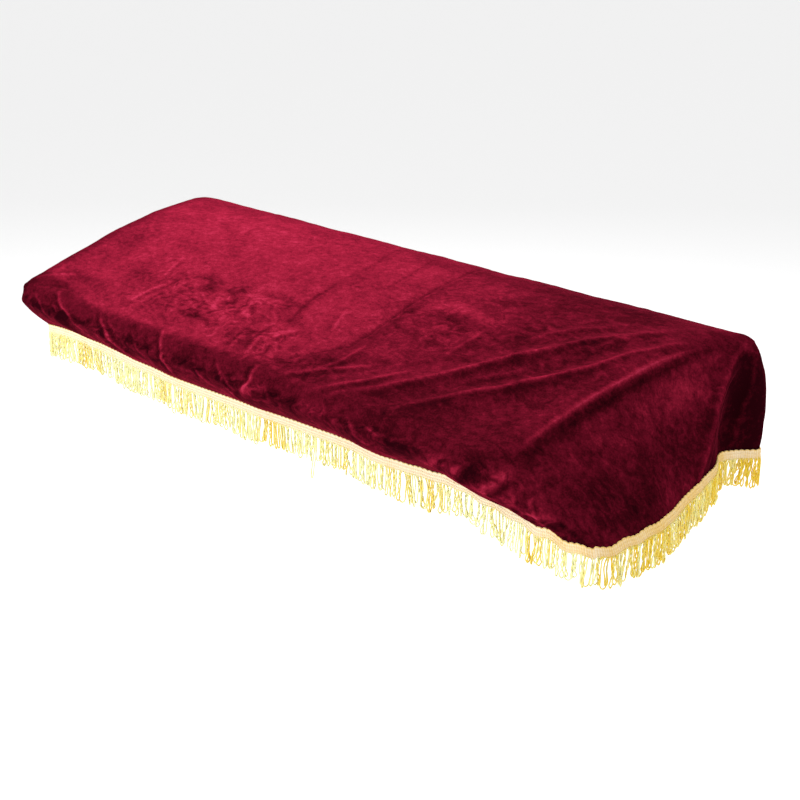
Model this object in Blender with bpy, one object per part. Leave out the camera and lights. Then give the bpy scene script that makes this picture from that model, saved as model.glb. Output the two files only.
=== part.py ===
"""Fitted velvet piano cover, with a gold looped fringe sewn round its hem.

The cover is one sheet of velvet in the shape of a shallow tray turned upside down, as it hangs in use:
snug at its left end, and slack at its right end, where it falls from a ridge to the hem as a tent.
Metres, +Z up, +X to the right along the length, -Y to the front. All heights in the tables are above
the plane of the hem. The finished model is then moved so that its origin is on the underside of the
raised back of the top, where the cover bears on what it covers.
"""
import math

import bmesh
import bpy
from mathutils import Vector

# Driving dimensions of the velvet sheet
CLOTH = 0.0024
LEFT_X = -0.525
FRONT_Y = -0.213
BACK_Y = 0.180
BEARING_Y = 0.110

# Radius of the fold along each side's top edge
EDGE_ROUND = {"front": 0.013, "right": 0.032, "back": 0.013, "left": 0.013}

# Driving dimensions of the fringe
HEADER_TALL = 0.014
HEADER_THICK = 0.002
HEADER_CLEAR = 0.0006
ENDS_PARTED = 0.0004
LOCK_PITCH = 0.0125
LOCK_WIDE_SHARE = 0.48
LOCK_LONG = 0.036
LOCK_UNEVEN = 0.005
LOCK_SWAY = 0.0016
TIP_SHARE = 0.6

# Mesh spacing: close to the edges, over the folded right half, and over the plain rest
EDGE_STEPS = (0.0, 0.006, 0.015, 0.028)
FOLDED_FROM_X = 0.08
STEP_FOLDED = 0.015
STEP_PLAIN = 0.027
STEP_DEEP = 0.018
WALL_SHARES = (0.36, 0.66)

# The top from back to front: y, height
TOP_PROFILE = (
    (0.180, 0.1360),
    (0.157, 0.1425),
    (0.134, 0.1460),
    (0.088, 0.1435),
    (0.040, 0.1375),
    (-0.014, 0.1262),
    (-0.080, 0.1092),
    (-0.144, 0.0912),
    (-0.213, 0.0700),
)

# The ridge along which the top turns down at the slack right end: y, x
RIGHT_RIDGE = (
    (0.180, 0.492),
    (0.078, 0.446),
    (-0.020, 0.420),
    (-0.090, 0.405),
    (-0.214, 0.390),
)

# The seam of each side, where the header's top edge is sewn: place along the side, place across it, height
SEAM_FRONT = (
    (-0.503, -0.172, 0.0080),
    (-0.470, -0.178, 0.0145),
    (-0.400, -0.180, 0.0185),
    (-0.250, -0.180, 0.0125),
    (-0.160, -0.181, 0.0110),
    (0.000, -0.181, 0.0155),
    (0.160, -0.180, 0.0195),
    (0.210, -0.182, 0.0180),
    (0.335, -0.179, 0.0235),
    (0.368, -0.181, 0.0185),
    (0.395, -0.179, 0.0165),
    (0.425, -0.178, 0.0070),
    (0.455, -0.178, 0.0040),
    (0.482, -0.176, -0.0010),
    (0.505, -0.172, -0.0020),
)
SEAM_RIGHT = (
    (-0.172, 0.505, -0.002),
    (-0.154, 0.512, -0.001),
    (-0.100, 0.519, 0.000),
    (-0.065, 0.518, 0.000),
    (-0.030, 0.513, 0.000),
    (0.000, 0.507, 0.003),
    (0.035, 0.499, 0.006),
    (0.060, 0.502, 0.008),
    (0.095, 0.490, 0.006),
    (0.130, 0.479, 0.003),
    (0.147, 0.486, 0.002),
    (0.174, 0.511, 0.000),
)
SEAM_BACK = (
    (-0.507, 0.178, 0.006),
    (-0.300, 0.182, 0.010),
    (-0.050, 0.178, 0.007),
    (0.200, 0.183, 0.011),
    (0.400, 0.178, 0.007),
    (0.511, 0.174, 0.000),
)
SEAM_LEFT = (
    (-0.172, -0.503, 0.008),
    (-0.110, -0.513, 0.009),
    (0.000, -0.516, 0.005),
    (0.110, -0.512, 0.009),
    (0.178, -0.507, 0.006),
)

# Share of a fold's length that is left out at each end of its rise and fall
FOLD_ENDS = 0.12

# Below the seam the fringe's weight pulls the cloth towards upright: the share of the side's slope it keeps
KEPT_SLOPE = {"front": 0.0, "right": 0.45, "back": 0.3, "left": 0.3}

# Corners in plan: along the length, across it, radius, swelling at half height
CORNERS = (
    (-1, -1, 0.019, 0.012),
    (-1, 1, 0.026, 0.003),
    (1, -1, 0.070, 0.010),
    (1, 1, 0.018, 0.009),
)
CORNER_REACH = 0.090
SEAM_SOFTENING = 0.020

# How far each side swells out at half its height, and the share of the height over which that starts
BULGE = {"front": 0.011, "right": 0.010, "back": 0.003, "left": 0.004}
BULGE_STARTS = 0.3

# Rough lengths of the sides round the seam, and the mean heights of the folded ones
SIDE_LONG = {"front": 0.95, "right": 0.37, "back": 0.99, "left": 0.37}
SIDE_TALL = {"front": 0.09, "right": 0.14}

# Main folds of the top: points in plan along the crest, rise, half width
TOP_FOLDS = (
    (((0.478, 0.150), (0.446, 0.078), (0.420, -0.020), (0.405, -0.090), (0.394, -0.185)), 0.004, 0.018),
    (((0.410, 0.020), (0.350, -0.070), (0.290, -0.130), (0.240, -0.185)), 0.005, 0.018),
    (((0.390, 0.075), (0.330, 0.000), (0.240, -0.110), (0.150, -0.190)), 0.005, 0.018),
    (((0.190, -0.135), (0.100, -0.195)), 0.003, 0.018),
    (((0.380, -0.030), (0.330, -0.110), (0.310, -0.170)), -0.004, 0.022),
    (((0.100, 0.160), (0.090, 0.000), (0.090, -0.120)), -0.002, 0.030),
    (((-0.300, -0.078), (-0.100, -0.082), (0.090, -0.074)), 0.002, 0.022),
    (((-0.440, -0.060), (-0.430, -0.150)), -0.004, 0.026),
)

# Main folds of the front and right sides: points along the side and down it (0 top, 1 seam),
# rise, half width
FRONT_FOLDS = (
    (((-0.440, 0.1), (-0.390, 0.9)), 0.004, 0.018),
    (((-0.320, 0.1), (-0.280, 0.9)), 0.003, 0.018),
    (((-0.180, 0.1), (-0.200, 0.9)), 0.003, 0.016),
    (((0.020, 0.1), (-0.030, 0.9)), 0.003, 0.018),
    (((0.210, 0.1), (0.150, 0.9)), 0.003, 0.020),
    (((0.330, 0.2), (0.290, 0.9)), 0.003, 0.020),
    (((0.370, 0.4), (0.350, 0.9)), -0.003, 0.018),
)
RIGHT_FOLDS = (
    (((0.165, 0.08), (0.105, 0.45), (0.060, 0.75), (0.000, 1.00)), 0.011, 0.018),
    (((0.150, 0.30), (0.128, 0.70), (0.110, 1.00)), -0.010, 0.020),
    (((0.000, 0.10), (-0.060, 0.50), (-0.100, 1.00)), 0.005, 0.030),
    (((-0.060, 0.20), (-0.130, 0.90)), -0.003, 0.022),
)


def curve_at(rows, place, column):
    """A smooth curve through a table's rows, read at a place in its first column."""
    rows = sorted(rows)
    place = min(max(place, rows[0][0]), rows[-1][0])
    upper = next(i for i in range(1, len(rows)) if place <= rows[i][0])
    start, end = rows[upper - 1], rows[upper]
    before, after = rows[max(upper - 2, 0)], rows[min(upper + 1, len(rows) - 1)]
    gap = end[0] - start[0]
    slope_in = (end[column] - before[column]) / (end[0] - before[0]) * gap
    slope_out = (after[column] - start[column]) / (after[0] - start[0]) * gap
    t = (place - start[0]) / gap
    return (start[column] * (1 + 2 * t) * (1 - t) ** 2 + slope_in * t * (1 - t) ** 2
            + end[column] * t * t * (3 - 2 * t) + slope_out * t * t * (t - 1))


def top_height(y):
    return curve_at(TOP_PROFILE, y, 1)


def top_plan(share, y):
    """A place on the top from its share of the length, 0 at the left edge and 1 on the ridge."""
    return LEFT_X + share * (curve_at(RIGHT_RIDGE, y, 1) - LEFT_X)


def seam_point(side, share):
    """A point on the seam as it would be with sharp corners, from its share of the side's length."""
    rows = {"front": SEAM_FRONT, "back": SEAM_BACK, "left": SEAM_LEFT, "right": SEAM_RIGHT}[side]
    along = rows[0][0] + share * (rows[-1][0] - rows[0][0])
    if side == "front":
        # The front hangs straight down at the left, and leans outwards near the slack right end
        straight = top_plan(share, FRONT_Y)
        lean_left = rows[0][0] - LEFT_X
        lean_right = rows[-1][0] - top_plan(1, FRONT_Y)
        along = straight + lean_left * (1 - share) ** 3 + lean_right * share ** 3
    across = curve_at(rows, along, 1)
    height = curve_at(rows, along, 2)
    if side in ("front", "back"):
        return Vector((along, across, height))
    return Vector((across, along, height))


def seam_round(side, share):
    """The seam with its corners softened: a weighted mean of the sharp seam on both sides of a place."""
    total = Vector((0, 0, 0))
    weights = 0
    for step in range(-4, 5):
        weight = 1 - abs(step) / 5
        moved = share + step / 4 * SEAM_SOFTENING / SIDE_LONG[side]
        here, spot = side, moved
        if moved < 0 or moved > 1:
            over = (moved - 1 if moved > 1 else -moved) * SIDE_LONG[side]
            here, spot = next_side(side, moved > 1, over)
        total += weight * seam_point(here, spot)
        weights += weight
    return total / weights


def next_side(side, past_end, over):
    """The side that meets this one at its end or start, and the share at which it is entered."""
    corner = {
        ("front", True): ("right", "start"), ("front", False): ("left", "start"),
        ("right", True): ("back", "end"), ("right", False): ("front", "end"),
        ("back", True): ("right", "end"), ("back", False): ("left", "end"),
        ("left", True): ("back", "start"), ("left", False): ("front", "start"),
    }[(side, past_end)]
    share = over / SIDE_LONG[corner[0]]
    return corner[0], share if corner[1] == "start" else 1 - share


def nearest_corner(across_x, across_y):
    """The row of the corner table for the quarter of the plan that holds a place."""
    return next(row for row in CORNERS if (row[0] > 0) == (across_x > 0) and (row[1] > 0) == (across_y > 0))


def swelling(side, across_x, across_y, half_x, half_y):
    """How far a side swells out, passing smoothly into its corner's own swelling."""
    corner = nearest_corner(across_x, across_y)
    from_corner = max(half_x - abs(across_x), half_y - abs(across_y)) / CORNER_REACH
    share = min(1.0, from_corner)
    share = share * share * (3 - 2 * share)
    return corner[3] + (BULGE[side] - corner[3]) * share


def rounded_plan(across_x, across_y, half_x, half_y):
    """Round a rectangle's corners: the place in plan, its way out, and its distance from the edge."""
    sign_x = 1 if across_x > 0 else -1
    sign_y = 1 if across_y > 0 else -1
    radius = nearest_corner(across_x, across_y)[2]
    left_x = half_x - abs(across_x)
    left_y = half_y - abs(across_y)
    inward = min(left_x, left_y)
    if left_x < radius and left_y < radius:
        corner = Vector((sign_x * (half_x - radius), sign_y * (half_y - radius)))
        arm = Vector((across_x, across_y)) - corner
        way_out = arm.normalized()
        return corner + way_out * (radius - inward), way_out, inward
    way_out = Vector((sign_x, 0)) if left_x < left_y else Vector((0, sign_y))
    return Vector((across_x, across_y)), way_out, inward


def round_corner(values, way_out):
    """One of the sides' values, passing smoothly from side to side round a corner."""
    beside = values["right" if way_out.x > 0 else "left"]
    across = values["back" if way_out.y > 0 else "front"]
    return beside * way_out.x ** 2 + across * way_out.y ** 2


def fillet_shift(distance, turn, radius, on_wall):
    """How far rounding moves a point of a folded edge, outwards and upwards."""
    reach = radius * math.tan(turn / 2)
    if distance >= reach:
        return 0.0, 0.0
    part = 1 + distance / reach if on_wall else 1 - distance / reach
    angle = turn / 2 * part
    out = -reach + radius * math.sin(angle)
    up = -radius + radius * math.cos(angle)
    if on_wall:
        return out - distance * math.cos(turn), up + distance * math.sin(turn)
    return out + distance, up


def fold_rise(folds, place, down_scale=1.0):
    """The sum of the folds at a place. Each fades towards its two ends and to its sides."""
    rise = 0.0
    for crest, height, half_width in folds:
        points = [Vector((a, b * down_scale)) for a, b in crest]
        runs = [(q - p).length for p, q in zip(points, points[1:])]
        best = None
        before = 0.0
        for start, end, run in zip(points, points[1:], runs):
            share = max(0.0, min(1.0, (place - start).dot(end - start) / run ** 2))
            away = (place - start.lerp(end, share)).length
            if best is None or away < best[0]:
                best = (away, (before + share * run) / sum(runs))
            before += run
        away, along = best
        fade = math.sin(math.pi * (FOLD_ENDS + (1 - 2 * FOLD_ENDS) * along))
        rise += height * fade * math.exp(-(away / half_width) ** 2)
    return rise


def edge_and_wall(across_x, across_y, half_x, half_y):
    """The fold line above a side's place, the seam below it, the way out, and the side."""
    plan, way_out, _ = rounded_plan(across_x, across_y, half_x, half_y)
    share_x = (across_x + half_x) / (2 * half_x)
    share_y = (across_y + half_y) / (2 * half_y)
    y = (BACK_Y + FRONT_Y) / 2 + plan.y
    x = top_plan((plan.x + half_x) / (2 * half_x), y)
    edge = Vector((x, y, top_height(y)))
    if half_y - abs(across_y) < half_x - abs(across_x) or share_x in (0.0, 1.0) and share_y in (0.0, 1.0):
        side = "back" if across_y > 0 else "front"
        seam = seam_round(side, share_x)
    else:
        side = "right" if across_x > 0 else "left"
        seam = seam_round(side, share_y)
    return edge, seam, way_out, side


def sheet_point(across_x, across_y, half_x, half_y, row=None):
    """A point on the outside of the cover: on the top, or on the side below an edge at a wall row."""
    if row is None:
        plan, way_out, inward = rounded_plan(across_x, across_y, half_x, half_y)
        y = (BACK_Y + FRONT_Y) / 2 + plan.y
        x = top_plan((plan.x + half_x) / (2 * half_x), y)
        point = Vector((x, y, top_height(y)))
        if inward > EDGE_STEPS[-1]:
            return point
        edge, seam, _, _ = edge_and_wall(*nearest_edge(across_x, across_y, half_x, half_y), half_x, half_y)
        turn = turn_angle(edge, seam, way_out)
        out, up = fillet_shift(inward, turn, round_corner(EDGE_ROUND, way_out), False)
        return point + Vector((way_out.x * out, way_out.y * out, up))
    edge, seam, way_out, side = edge_and_wall(across_x, across_y, half_x, half_y)
    if row == HEM_ROW:
        kept = round_corner(KEPT_SLOPE, way_out)
        slope = (seam - edge).normalized() * kept
        return seam + (slope + Vector((0, 0, kept - 1))).normalized() * HEADER_TALL
    length = (seam - edge).length
    share = wall_share(row, length)
    point = edge.lerp(seam, share)
    turn = turn_angle(edge, seam, way_out)
    out, up = fillet_shift(share * length, turn, round_corner(EDGE_ROUND, way_out), True)
    swell = swelling(side, across_x, across_y, half_x, half_y)
    out += swell * 4 * share * (1 - share) * min(1.0, share / BULGE_STARTS)
    return point + Vector((way_out.x * out, way_out.y * out, up))


def nearest_edge(across_x, across_y, half_x, half_y):
    """The place on the outline straight out from a place on the top."""
    left_x = half_x - abs(across_x)
    left_y = half_y - abs(across_y)
    inward = min(left_x, left_y)
    return across_x * half_x / (half_x - inward), across_y * half_y / (half_y - inward)


def turn_angle(edge, seam, way_out):
    """How far the sheet turns at its top edge, from level to the slope of its side."""
    outwards = (seam.x - edge.x) * way_out.x + (seam.y - edge.y) * way_out.y
    return math.atan2(edge.z - seam.z, outwards)


def wall_share(row, length):
    """How far down its side a wall row lies, 0 at the fold line and 1 from the seam on."""
    near = [step / length for step in EDGE_STEPS[:3]]
    return (near + list(WALL_SHARES) + [1.0, 1.0])[row]


SEAM_ROW = len(EDGE_STEPS[:3]) + len(WALL_SHARES)
HEM_ROW = SEAM_ROW + 1


def stations(half, spacings):
    """Places from -half to half: close together at both ends, then at the spacing of each stretch."""
    places = [-half + step for step in EDGE_STEPS]
    for stretch_end, spacing in spacings:
        start = places[-1]
        count = max(1, round((stretch_end - start) / spacing))
        places += [start + (stretch_end - start) * (i + 1) / count for i in range(count)]
    places += [half - step for step in reversed(EDGE_STEPS[:-1])]
    return places


def add_grid(bm, rows, face_rows):
    """Join rows of vertices with faces."""
    for lower, upper in face_rows:
        for i in range(len(rows[lower]) - 1):
            bm.faces.new((rows[lower][i], rows[lower][i + 1], rows[upper][i + 1], rows[upper][i]))


def velvet_sheet():
    """The outside of the cover as one open mesh, and its ring of vertices at the hem and above it."""
    half_x = (curve_at(RIGHT_RIDGE, 0, 1) - LEFT_X) / 2
    half_y = (BACK_Y - FRONT_Y) / 2
    inner = EDGE_STEPS[-1]
    share_folded = (FOLDED_FROM_X - LEFT_X) / (2 * half_x)
    xs = stations(half_x, ((2 * half_x * share_folded - half_x, STEP_PLAIN), (half_x - inner, STEP_FOLDED)))
    ys = stations(half_y, ((half_y - inner, STEP_DEEP),))
    bm = bmesh.new()
    top = [[bm.verts.new(sheet_point(x, y, half_x, half_y)) for x in xs] for y in ys]
    places = {vertex: ("top", 0, 0) for row in top for vertex in row}
    add_grid(bm, top, [(i, i + 1) for i in range(len(ys) - 1)])

    # The outline, anticlockwise from the front left corner, and its vertices on the top
    outline = [(x, ys[0]) for x in xs[:-1]] + [(xs[-1], y) for y in ys[:-1]]
    outline += [(x, ys[-1]) for x in reversed(xs[1:])] + [(xs[0], y) for y in reversed(ys[1:])]
    ring = top[0][:-1] + [row[-1] for row in top[:-1]]
    ring += list(reversed(top[-1][1:])) + [row[0] for row in reversed(top[1:])]
    rings = [ring]
    for row in range(1, HEM_ROW + 1):
        ring = []
        for x, y in outline:
            vertex = bm.verts.new(sheet_point(x, y, half_x, half_y, row))
            edge, seam, _, side = edge_and_wall(x, y, half_x, half_y)
            along = edge.x if side in ("front", "back") else edge.y
            places[vertex] = (side, along, wall_share(row, (seam - edge).length))
            ring.append(vertex)
        rings.append(ring)
    for upper, lower in zip(rings, rings[1:]):
        for i in range(len(outline)):
            j = (i + 1) % len(outline)
            bm.faces.new((upper[i], lower[i], lower[j], upper[j]))

    # The folds move the sheet along its own normals
    bm.normal_update()
    moves = {}
    for vertex, (side, along, share) in places.items():
        plan = Vector((vertex.co.x, vertex.co.y))
        rise = fold_rise(TOP_FOLDS, plan) * (1 - share) ** 2
        if side in SIDE_TALL:
            folds = FRONT_FOLDS if side == "front" else RIGHT_FOLDS
            tall = SIDE_TALL[side]
            rise += fold_rise(folds, Vector((along, share * tall)), tall) * min(1.0, share / BULGE_STARTS)
        moves[vertex] = vertex.normal * rise
    for vertex, move in moves.items():
        vertex.co += move
    bm.normal_update()
    return bm, rings[-1], rings[-2]


def new_material(name, colour, roughness, metallic=0.0):
    material = bpy.data.materials.new(name)
    material.use_nodes = True
    shader = material.node_tree.nodes["Principled BSDF"]
    shader.inputs["Base Color"].default_value = (*colour, 1)
    shader.inputs["Roughness"].default_value = roughness
    shader.inputs["Metallic"].default_value = metallic
    return material


def new_object(name, bm, material):
    mesh = bpy.data.meshes.new(name)
    bm.to_mesh(mesh)
    bm.free()
    mesh.materials.append(material)
    mesh.shade_smooth()
    mesh.set_sharp_from_angle(angle=math.radians(50))
    thing = bpy.data.objects.new(name, mesh)
    bpy.context.scene.collection.objects.link(thing)
    return thing


def velvet_cover(bm):
    """One sheet of velvet, closed by giving it its thickness inwards."""
    thing = new_object("velvet_cover", bm, new_material("wine_velvet", (0.22, 0.008, 0.035), 0.8))
    solid = thing.modifiers.new("cloth", "SOLIDIFY")
    solid.thickness = CLOTH
    solid.offset = -1
    solid.use_even_offset = True
    solid.use_rim = True
    return thing


def wobble(number, seed):
    """A repeatable uneven value from -1 to 1."""
    return math.sin(13 * number + 78 * seed)


def fringe_trim(hem, above):
    """One length of fringe round the hem: a header strip with its locks hanging from it.

    hem and above hold the place and the outward normal of each vertex of the velvet's last two rings.
    """
    count = len(hem)
    start = hem_start(hem)
    order = [(start + i) % count for i in range(count + 1)]
    sections = []
    locks = []
    passed = 0
    for i, j in zip(order, order[1:]):
        run = (hem[j][0] - hem[i][0]).length
        in_run = round((passed + run) / LOCK_PITCH) - round(passed / LOCK_PITCH)
        passed += run
        shares = [0.0]
        for lock in range(in_run):
            half_wide = min(LOCK_WIDE_SHARE, LOCK_WIDE_SHARE * LOCK_PITCH * in_run / run) / 2
            shares += [(lock + 0.5 - half_wide) / in_run, (lock + 0.5 + half_wide) / in_run]
            locks.append(len(sections) + len(shares) - 2)
        for share in shares:
            sections.append(header_section(hem, above, i, j, share))
    sections.append(header_section(hem, above, order[-2], order[-1], 1.0))
    # The two ends of the trim stand a little apart where they meet
    parting = (sections[1][0] - sections[0][0]).normalized() * ENDS_PARTED
    sections[0] = [corner + parting for corner in sections[0]]

    bm = bmesh.new()
    rings = [[bm.verts.new(corner) for corner in section] for section in sections]
    bm.faces.new(rings[0])
    bm.faces.new(list(reversed(rings[-1])))
    for index, (near, far) in enumerate(zip(rings, rings[1:])):
        for k in range(4):
            m = (k + 1) % 4
            if k == 2 and index in locks:
                add_lock(bm, (near[k], near[m], far[m], far[k]), index)
            else:
                bm.faces.new((near[m], near[k], far[k], far[m]))
    bmesh.ops.recalc_face_normals(bm, faces=bm.faces)
    return new_object("fringe_trim", bm, new_material("gold_rayon", (0.78, 0.52, 0.12), 0.5)), len(locks)


def hem_start(hem):
    """The vertex at the middle of the back, where the trim's ends meet."""
    back = [i for i, (_, outward) in enumerate(hem) if outward.y > abs(outward.x)]
    return min(back, key=lambda i: abs(hem[i][0].x))


def header_section(hem, above, i, j, share):
    """The header's four corners at a place on the hem: inner top, outer top, outer bottom, inner bottom."""
    low = hem[i][0].lerp(hem[j][0], share)
    high = above[i][0].lerp(above[j][0], share)
    low_out = hem[i][1].lerp(hem[j][1], share)
    high_out = above[i][1].lerp(above[j][1], share)
    near, far = HEADER_CLEAR, HEADER_CLEAR + HEADER_THICK
    return [high + high_out * near, high + high_out * far, low + low_out * far, low + low_out * near]


def add_lock(bm, root, number):
    """A tapered lock of four sides, hanging from a face of the header."""
    centre = sum((v.co for v in root), Vector()) / 4
    long_way = (root[3].co - root[0].co).normalized()
    fall = Vector((0, 0, -(LOCK_LONG + LOCK_UNEVEN * wobble(number, 1))))
    sway = long_way * LOCK_SWAY * wobble(number, 2)
    tip = [bm.verts.new(centre + (v.co - centre) * TIP_SHARE + fall + sway) for v in root]
    for k in range(4):
        m = (k + 1) % 4
        bm.faces.new((root[k], root[m], tip[m], tip[k]))
    bm.faces.new(list(reversed(tip)))


def build():
    for thing in list(bpy.data.objects):
        bpy.data.objects.remove(thing, do_unlink=True)
    bm, hem, above = velvet_sheet()
    hem = [(v.co.copy(), v.normal.copy()) for v in hem]
    above = [(v.co.copy(), v.normal.copy()) for v in above]
    cover = velvet_cover(bm)
    fringe, lock_count = fringe_trim(hem, above)
    print("locks in the fringe:", lock_count)
    underside = top_height(BEARING_Y) - CLOTH
    for thing in (cover, fringe):
        for vertex in thing.data.vertices:
            vertex.co -= Vector((0, BEARING_Y, underside))


build()
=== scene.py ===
"""A fitted velvet piano cover with a gold looped fringe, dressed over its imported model.

Metres, +Z up, +X along the cover to its slack end, -Y to the front. The tables of the cover's own
shape give heights above the plane of its hem, and the finished pieces are lowered into the frame.
"""
import math

import bpy
import numpy as np
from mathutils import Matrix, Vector, noise


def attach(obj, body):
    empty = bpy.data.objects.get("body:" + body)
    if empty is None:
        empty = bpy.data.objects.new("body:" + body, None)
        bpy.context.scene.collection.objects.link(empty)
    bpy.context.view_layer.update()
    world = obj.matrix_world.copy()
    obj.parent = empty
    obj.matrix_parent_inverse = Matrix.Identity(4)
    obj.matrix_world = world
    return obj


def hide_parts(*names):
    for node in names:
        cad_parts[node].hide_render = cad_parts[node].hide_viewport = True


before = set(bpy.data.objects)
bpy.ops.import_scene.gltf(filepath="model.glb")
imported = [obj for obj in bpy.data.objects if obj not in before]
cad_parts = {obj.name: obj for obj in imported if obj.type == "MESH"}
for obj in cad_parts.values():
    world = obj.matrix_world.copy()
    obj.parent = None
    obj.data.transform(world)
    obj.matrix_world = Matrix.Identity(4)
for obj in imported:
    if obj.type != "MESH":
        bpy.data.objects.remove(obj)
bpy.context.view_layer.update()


def new_object(name, data):
    """An object of some data, in the scene."""
    thing = bpy.data.objects.new(name, data)
    bpy.context.scene.collection.objects.link(thing)
    return thing


# The camera is in front of the slack end and looks down along the cover, as in the photograph.
camera_data = bpy.data.cameras.new("camera")
camera_data.lens = 60.58
camera_data.sensor_width = 36
camera = new_object("camera", camera_data)
camera.location = (1.20365, -1.31617, 0.52988)
camera.rotation_euler = (math.radians(90 - 22.297), 0, math.radians(43.299))
bpy.context.scene.camera = camera

# The studio: an even pale surround and soft lamps, the main one high on the left and a little behind.
# The cover is held up in use, so the floor lies well below it.
FLOOR_DROP = 0.95
world = bpy.data.worlds.new("studio")
world.use_nodes = True
world.node_tree.nodes["Background"].inputs["Color"].default_value = (1.0, 1.0, 1.0, 1)
world.node_tree.nodes["Background"].inputs["Strength"].default_value = 0.94
bpy.context.scene.world = world
bpy.context.scene.view_settings.view_transform = "Standard"


def soft_lamp(name, place, aim, wide, power):
    """A square soft lamp that faces a point."""
    data = bpy.data.lights.new(name, "AREA")
    data.size = wide
    data.energy = power
    lamp = new_object(name, data)
    lamp.location = place
    lamp.rotation_euler = (Vector(aim) - Vector(place)).to_track_quat("-Z", "Y").to_euler()


soft_lamp("key", (-1.25, 1.2, 1.6), (-0.1, -0.1, -0.05), 0.6, 60)
soft_lamp("front", (-1.9, -2.2, 0.8), (0, -0.1, -0.1), 1.0, 44)

bpy.ops.object.select_all(action="DESELECT")
bpy.ops.mesh.primitive_plane_add(size=60, location=(0, 0, -FLOOR_DROP))
floor = bpy.context.object
floor.name = "floor"
floor_paint = bpy.data.materials.new("pale_floor")
floor_paint.use_nodes = True
floor_paint.node_tree.nodes["Principled BSDF"].inputs["Base Color"].default_value = (0.93, 0.93, 0.93, 1)
floor_paint.node_tree.nodes["Principled BSDF"].inputs["Roughness"].default_value = 0.9
floor.data.materials.append(floor_paint)

# The velvet cover: a top panel with four falling sides, cut from wine-red velvet and turned under at the
# hem. It lies snug at its left end. At its right end it is too long, and falls from a ridge to the hem
# as a tent, from whose back corner drag folds fan over the top.
SOLID_CLOTH = 0.0024
VELVET_THICK = 0.0018
REVERSE_KEPT = 0.66
LEFT_X = -0.525
FRONT_Y = -0.213
BACK_Y = 0.180
BEARING_Y = 0.110
HEADER_TALL = 0.011
EDGE_ROUND = {"front": 0.013, "right": 0.032, "back": 0.013, "left": 0.013}
KEPT_SLOPE = {"front": 0.0, "right": 0.45, "back": 0.3, "left": 0.3}
BULGE = {"front": 0.011, "right": 0.010, "back": 0.003, "left": 0.004}
BULGE_STARTS = 0.3
SIDE_LONG = {"front": 0.95, "right": 0.37, "back": 0.99, "left": 0.37}
SIDE_TALL = {"front": 0.09, "right": 0.14, "back": 0.14, "left": 0.11}
SEAM_SOFTENING = 0.020
SOFTENING_STEPS = 4

# The sewing draws the hem up in small waves round the slack end's front corner. A place along the hem is
# its x on the front, and its y and PAST_CORNER together on the slack end
HEM_WAVES = {"middle": 0.450, "reach": 0.130, "tall": 0.0022, "long": 0.037}
PAST_CORNER = 0.660
WAVES_FROM_X = 0.2
WAVES_TO_Y = 0.05

# The top from back to front: y, height; and the ridge at the slack end: y, x
TOP_PROFILE = (
    (0.18, 0.136), (0.157, 0.1425), (0.134, 0.146), (0.088, 0.1435), (0.04, 0.1375),
    (-0.014, 0.1262), (-0.08, 0.1092), (-0.144, 0.0912), (-0.213, 0.07),
)
RIGHT_RIDGE = ((0.18, 0.492), (0.078, 0.446), (-0.02, 0.42), (-0.09, 0.405), (-0.214, 0.39))

# The seam of each side, where the fringe's top edge is sewn: place along the side, place across it, height
SEAMS = {
    "front": (
        (-0.503, -0.172, 0.008), (-0.47, -0.178, 0.0145), (-0.4, -0.18, 0.0185),
        (-0.25, -0.18, 0.0125), (-0.16, -0.181, 0.011), (0.0, -0.181, 0.0155),
        (0.16, -0.18, 0.0195), (0.21, -0.182, 0.018), (0.335, -0.179, 0.0235),
        (0.368, -0.181, 0.0185), (0.395, -0.179, 0.0165), (0.425, -0.178, 0.007),
        (0.455, -0.178, 0.004), (0.482, -0.176, -0.001), (0.505, -0.172, -0.002),
    ),
    "right": (
        (-0.172, 0.505, -0.002), (-0.154, 0.512, -0.001), (-0.1, 0.519, 0.0),
        (-0.065, 0.518, 0.0), (-0.03, 0.513, 0.0), (0.0, 0.507, 0.003),
        (0.035, 0.499, 0.006), (0.06, 0.502, 0.008), (0.095, 0.49, 0.006),
        (0.13, 0.479, 0.003), (0.147, 0.486, 0.002), (0.174, 0.511, 0.0),
    ),
    "back": (
        (-0.507, 0.178, 0.006), (-0.3, 0.182, 0.01), (-0.05, 0.178, 0.007),
        (0.2, 0.183, 0.011), (0.4, 0.178, 0.007), (0.511, 0.174, 0.0),
    ),
    "left": (
        (-0.172, -0.503, 0.008), (-0.11, -0.513, 0.009), (0.0, -0.516, 0.005),
        (0.11, -0.512, 0.009), (0.178, -0.507, 0.006),
    ),
}

# The side met past a side's start and past its end, and whether it is entered at its own end
NEXT_SIDE = {
    "front": (("left", False), ("right", False)),
    "right": (("front", True), ("back", True)),
    "back": (("left", True), ("right", True)),
    "left": (("front", False), ("back", False)),
}

# Corners in plan: along the length, across it, radius, swelling at half height
CORNERS = ((-1, -1, 0.019, 0.007), (-1, 1, 0.026, 0.003), (1, -1, 0.070, 0.010), (1, 1, 0.018, 0.009))
CORNER_REACH = 0.090

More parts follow.
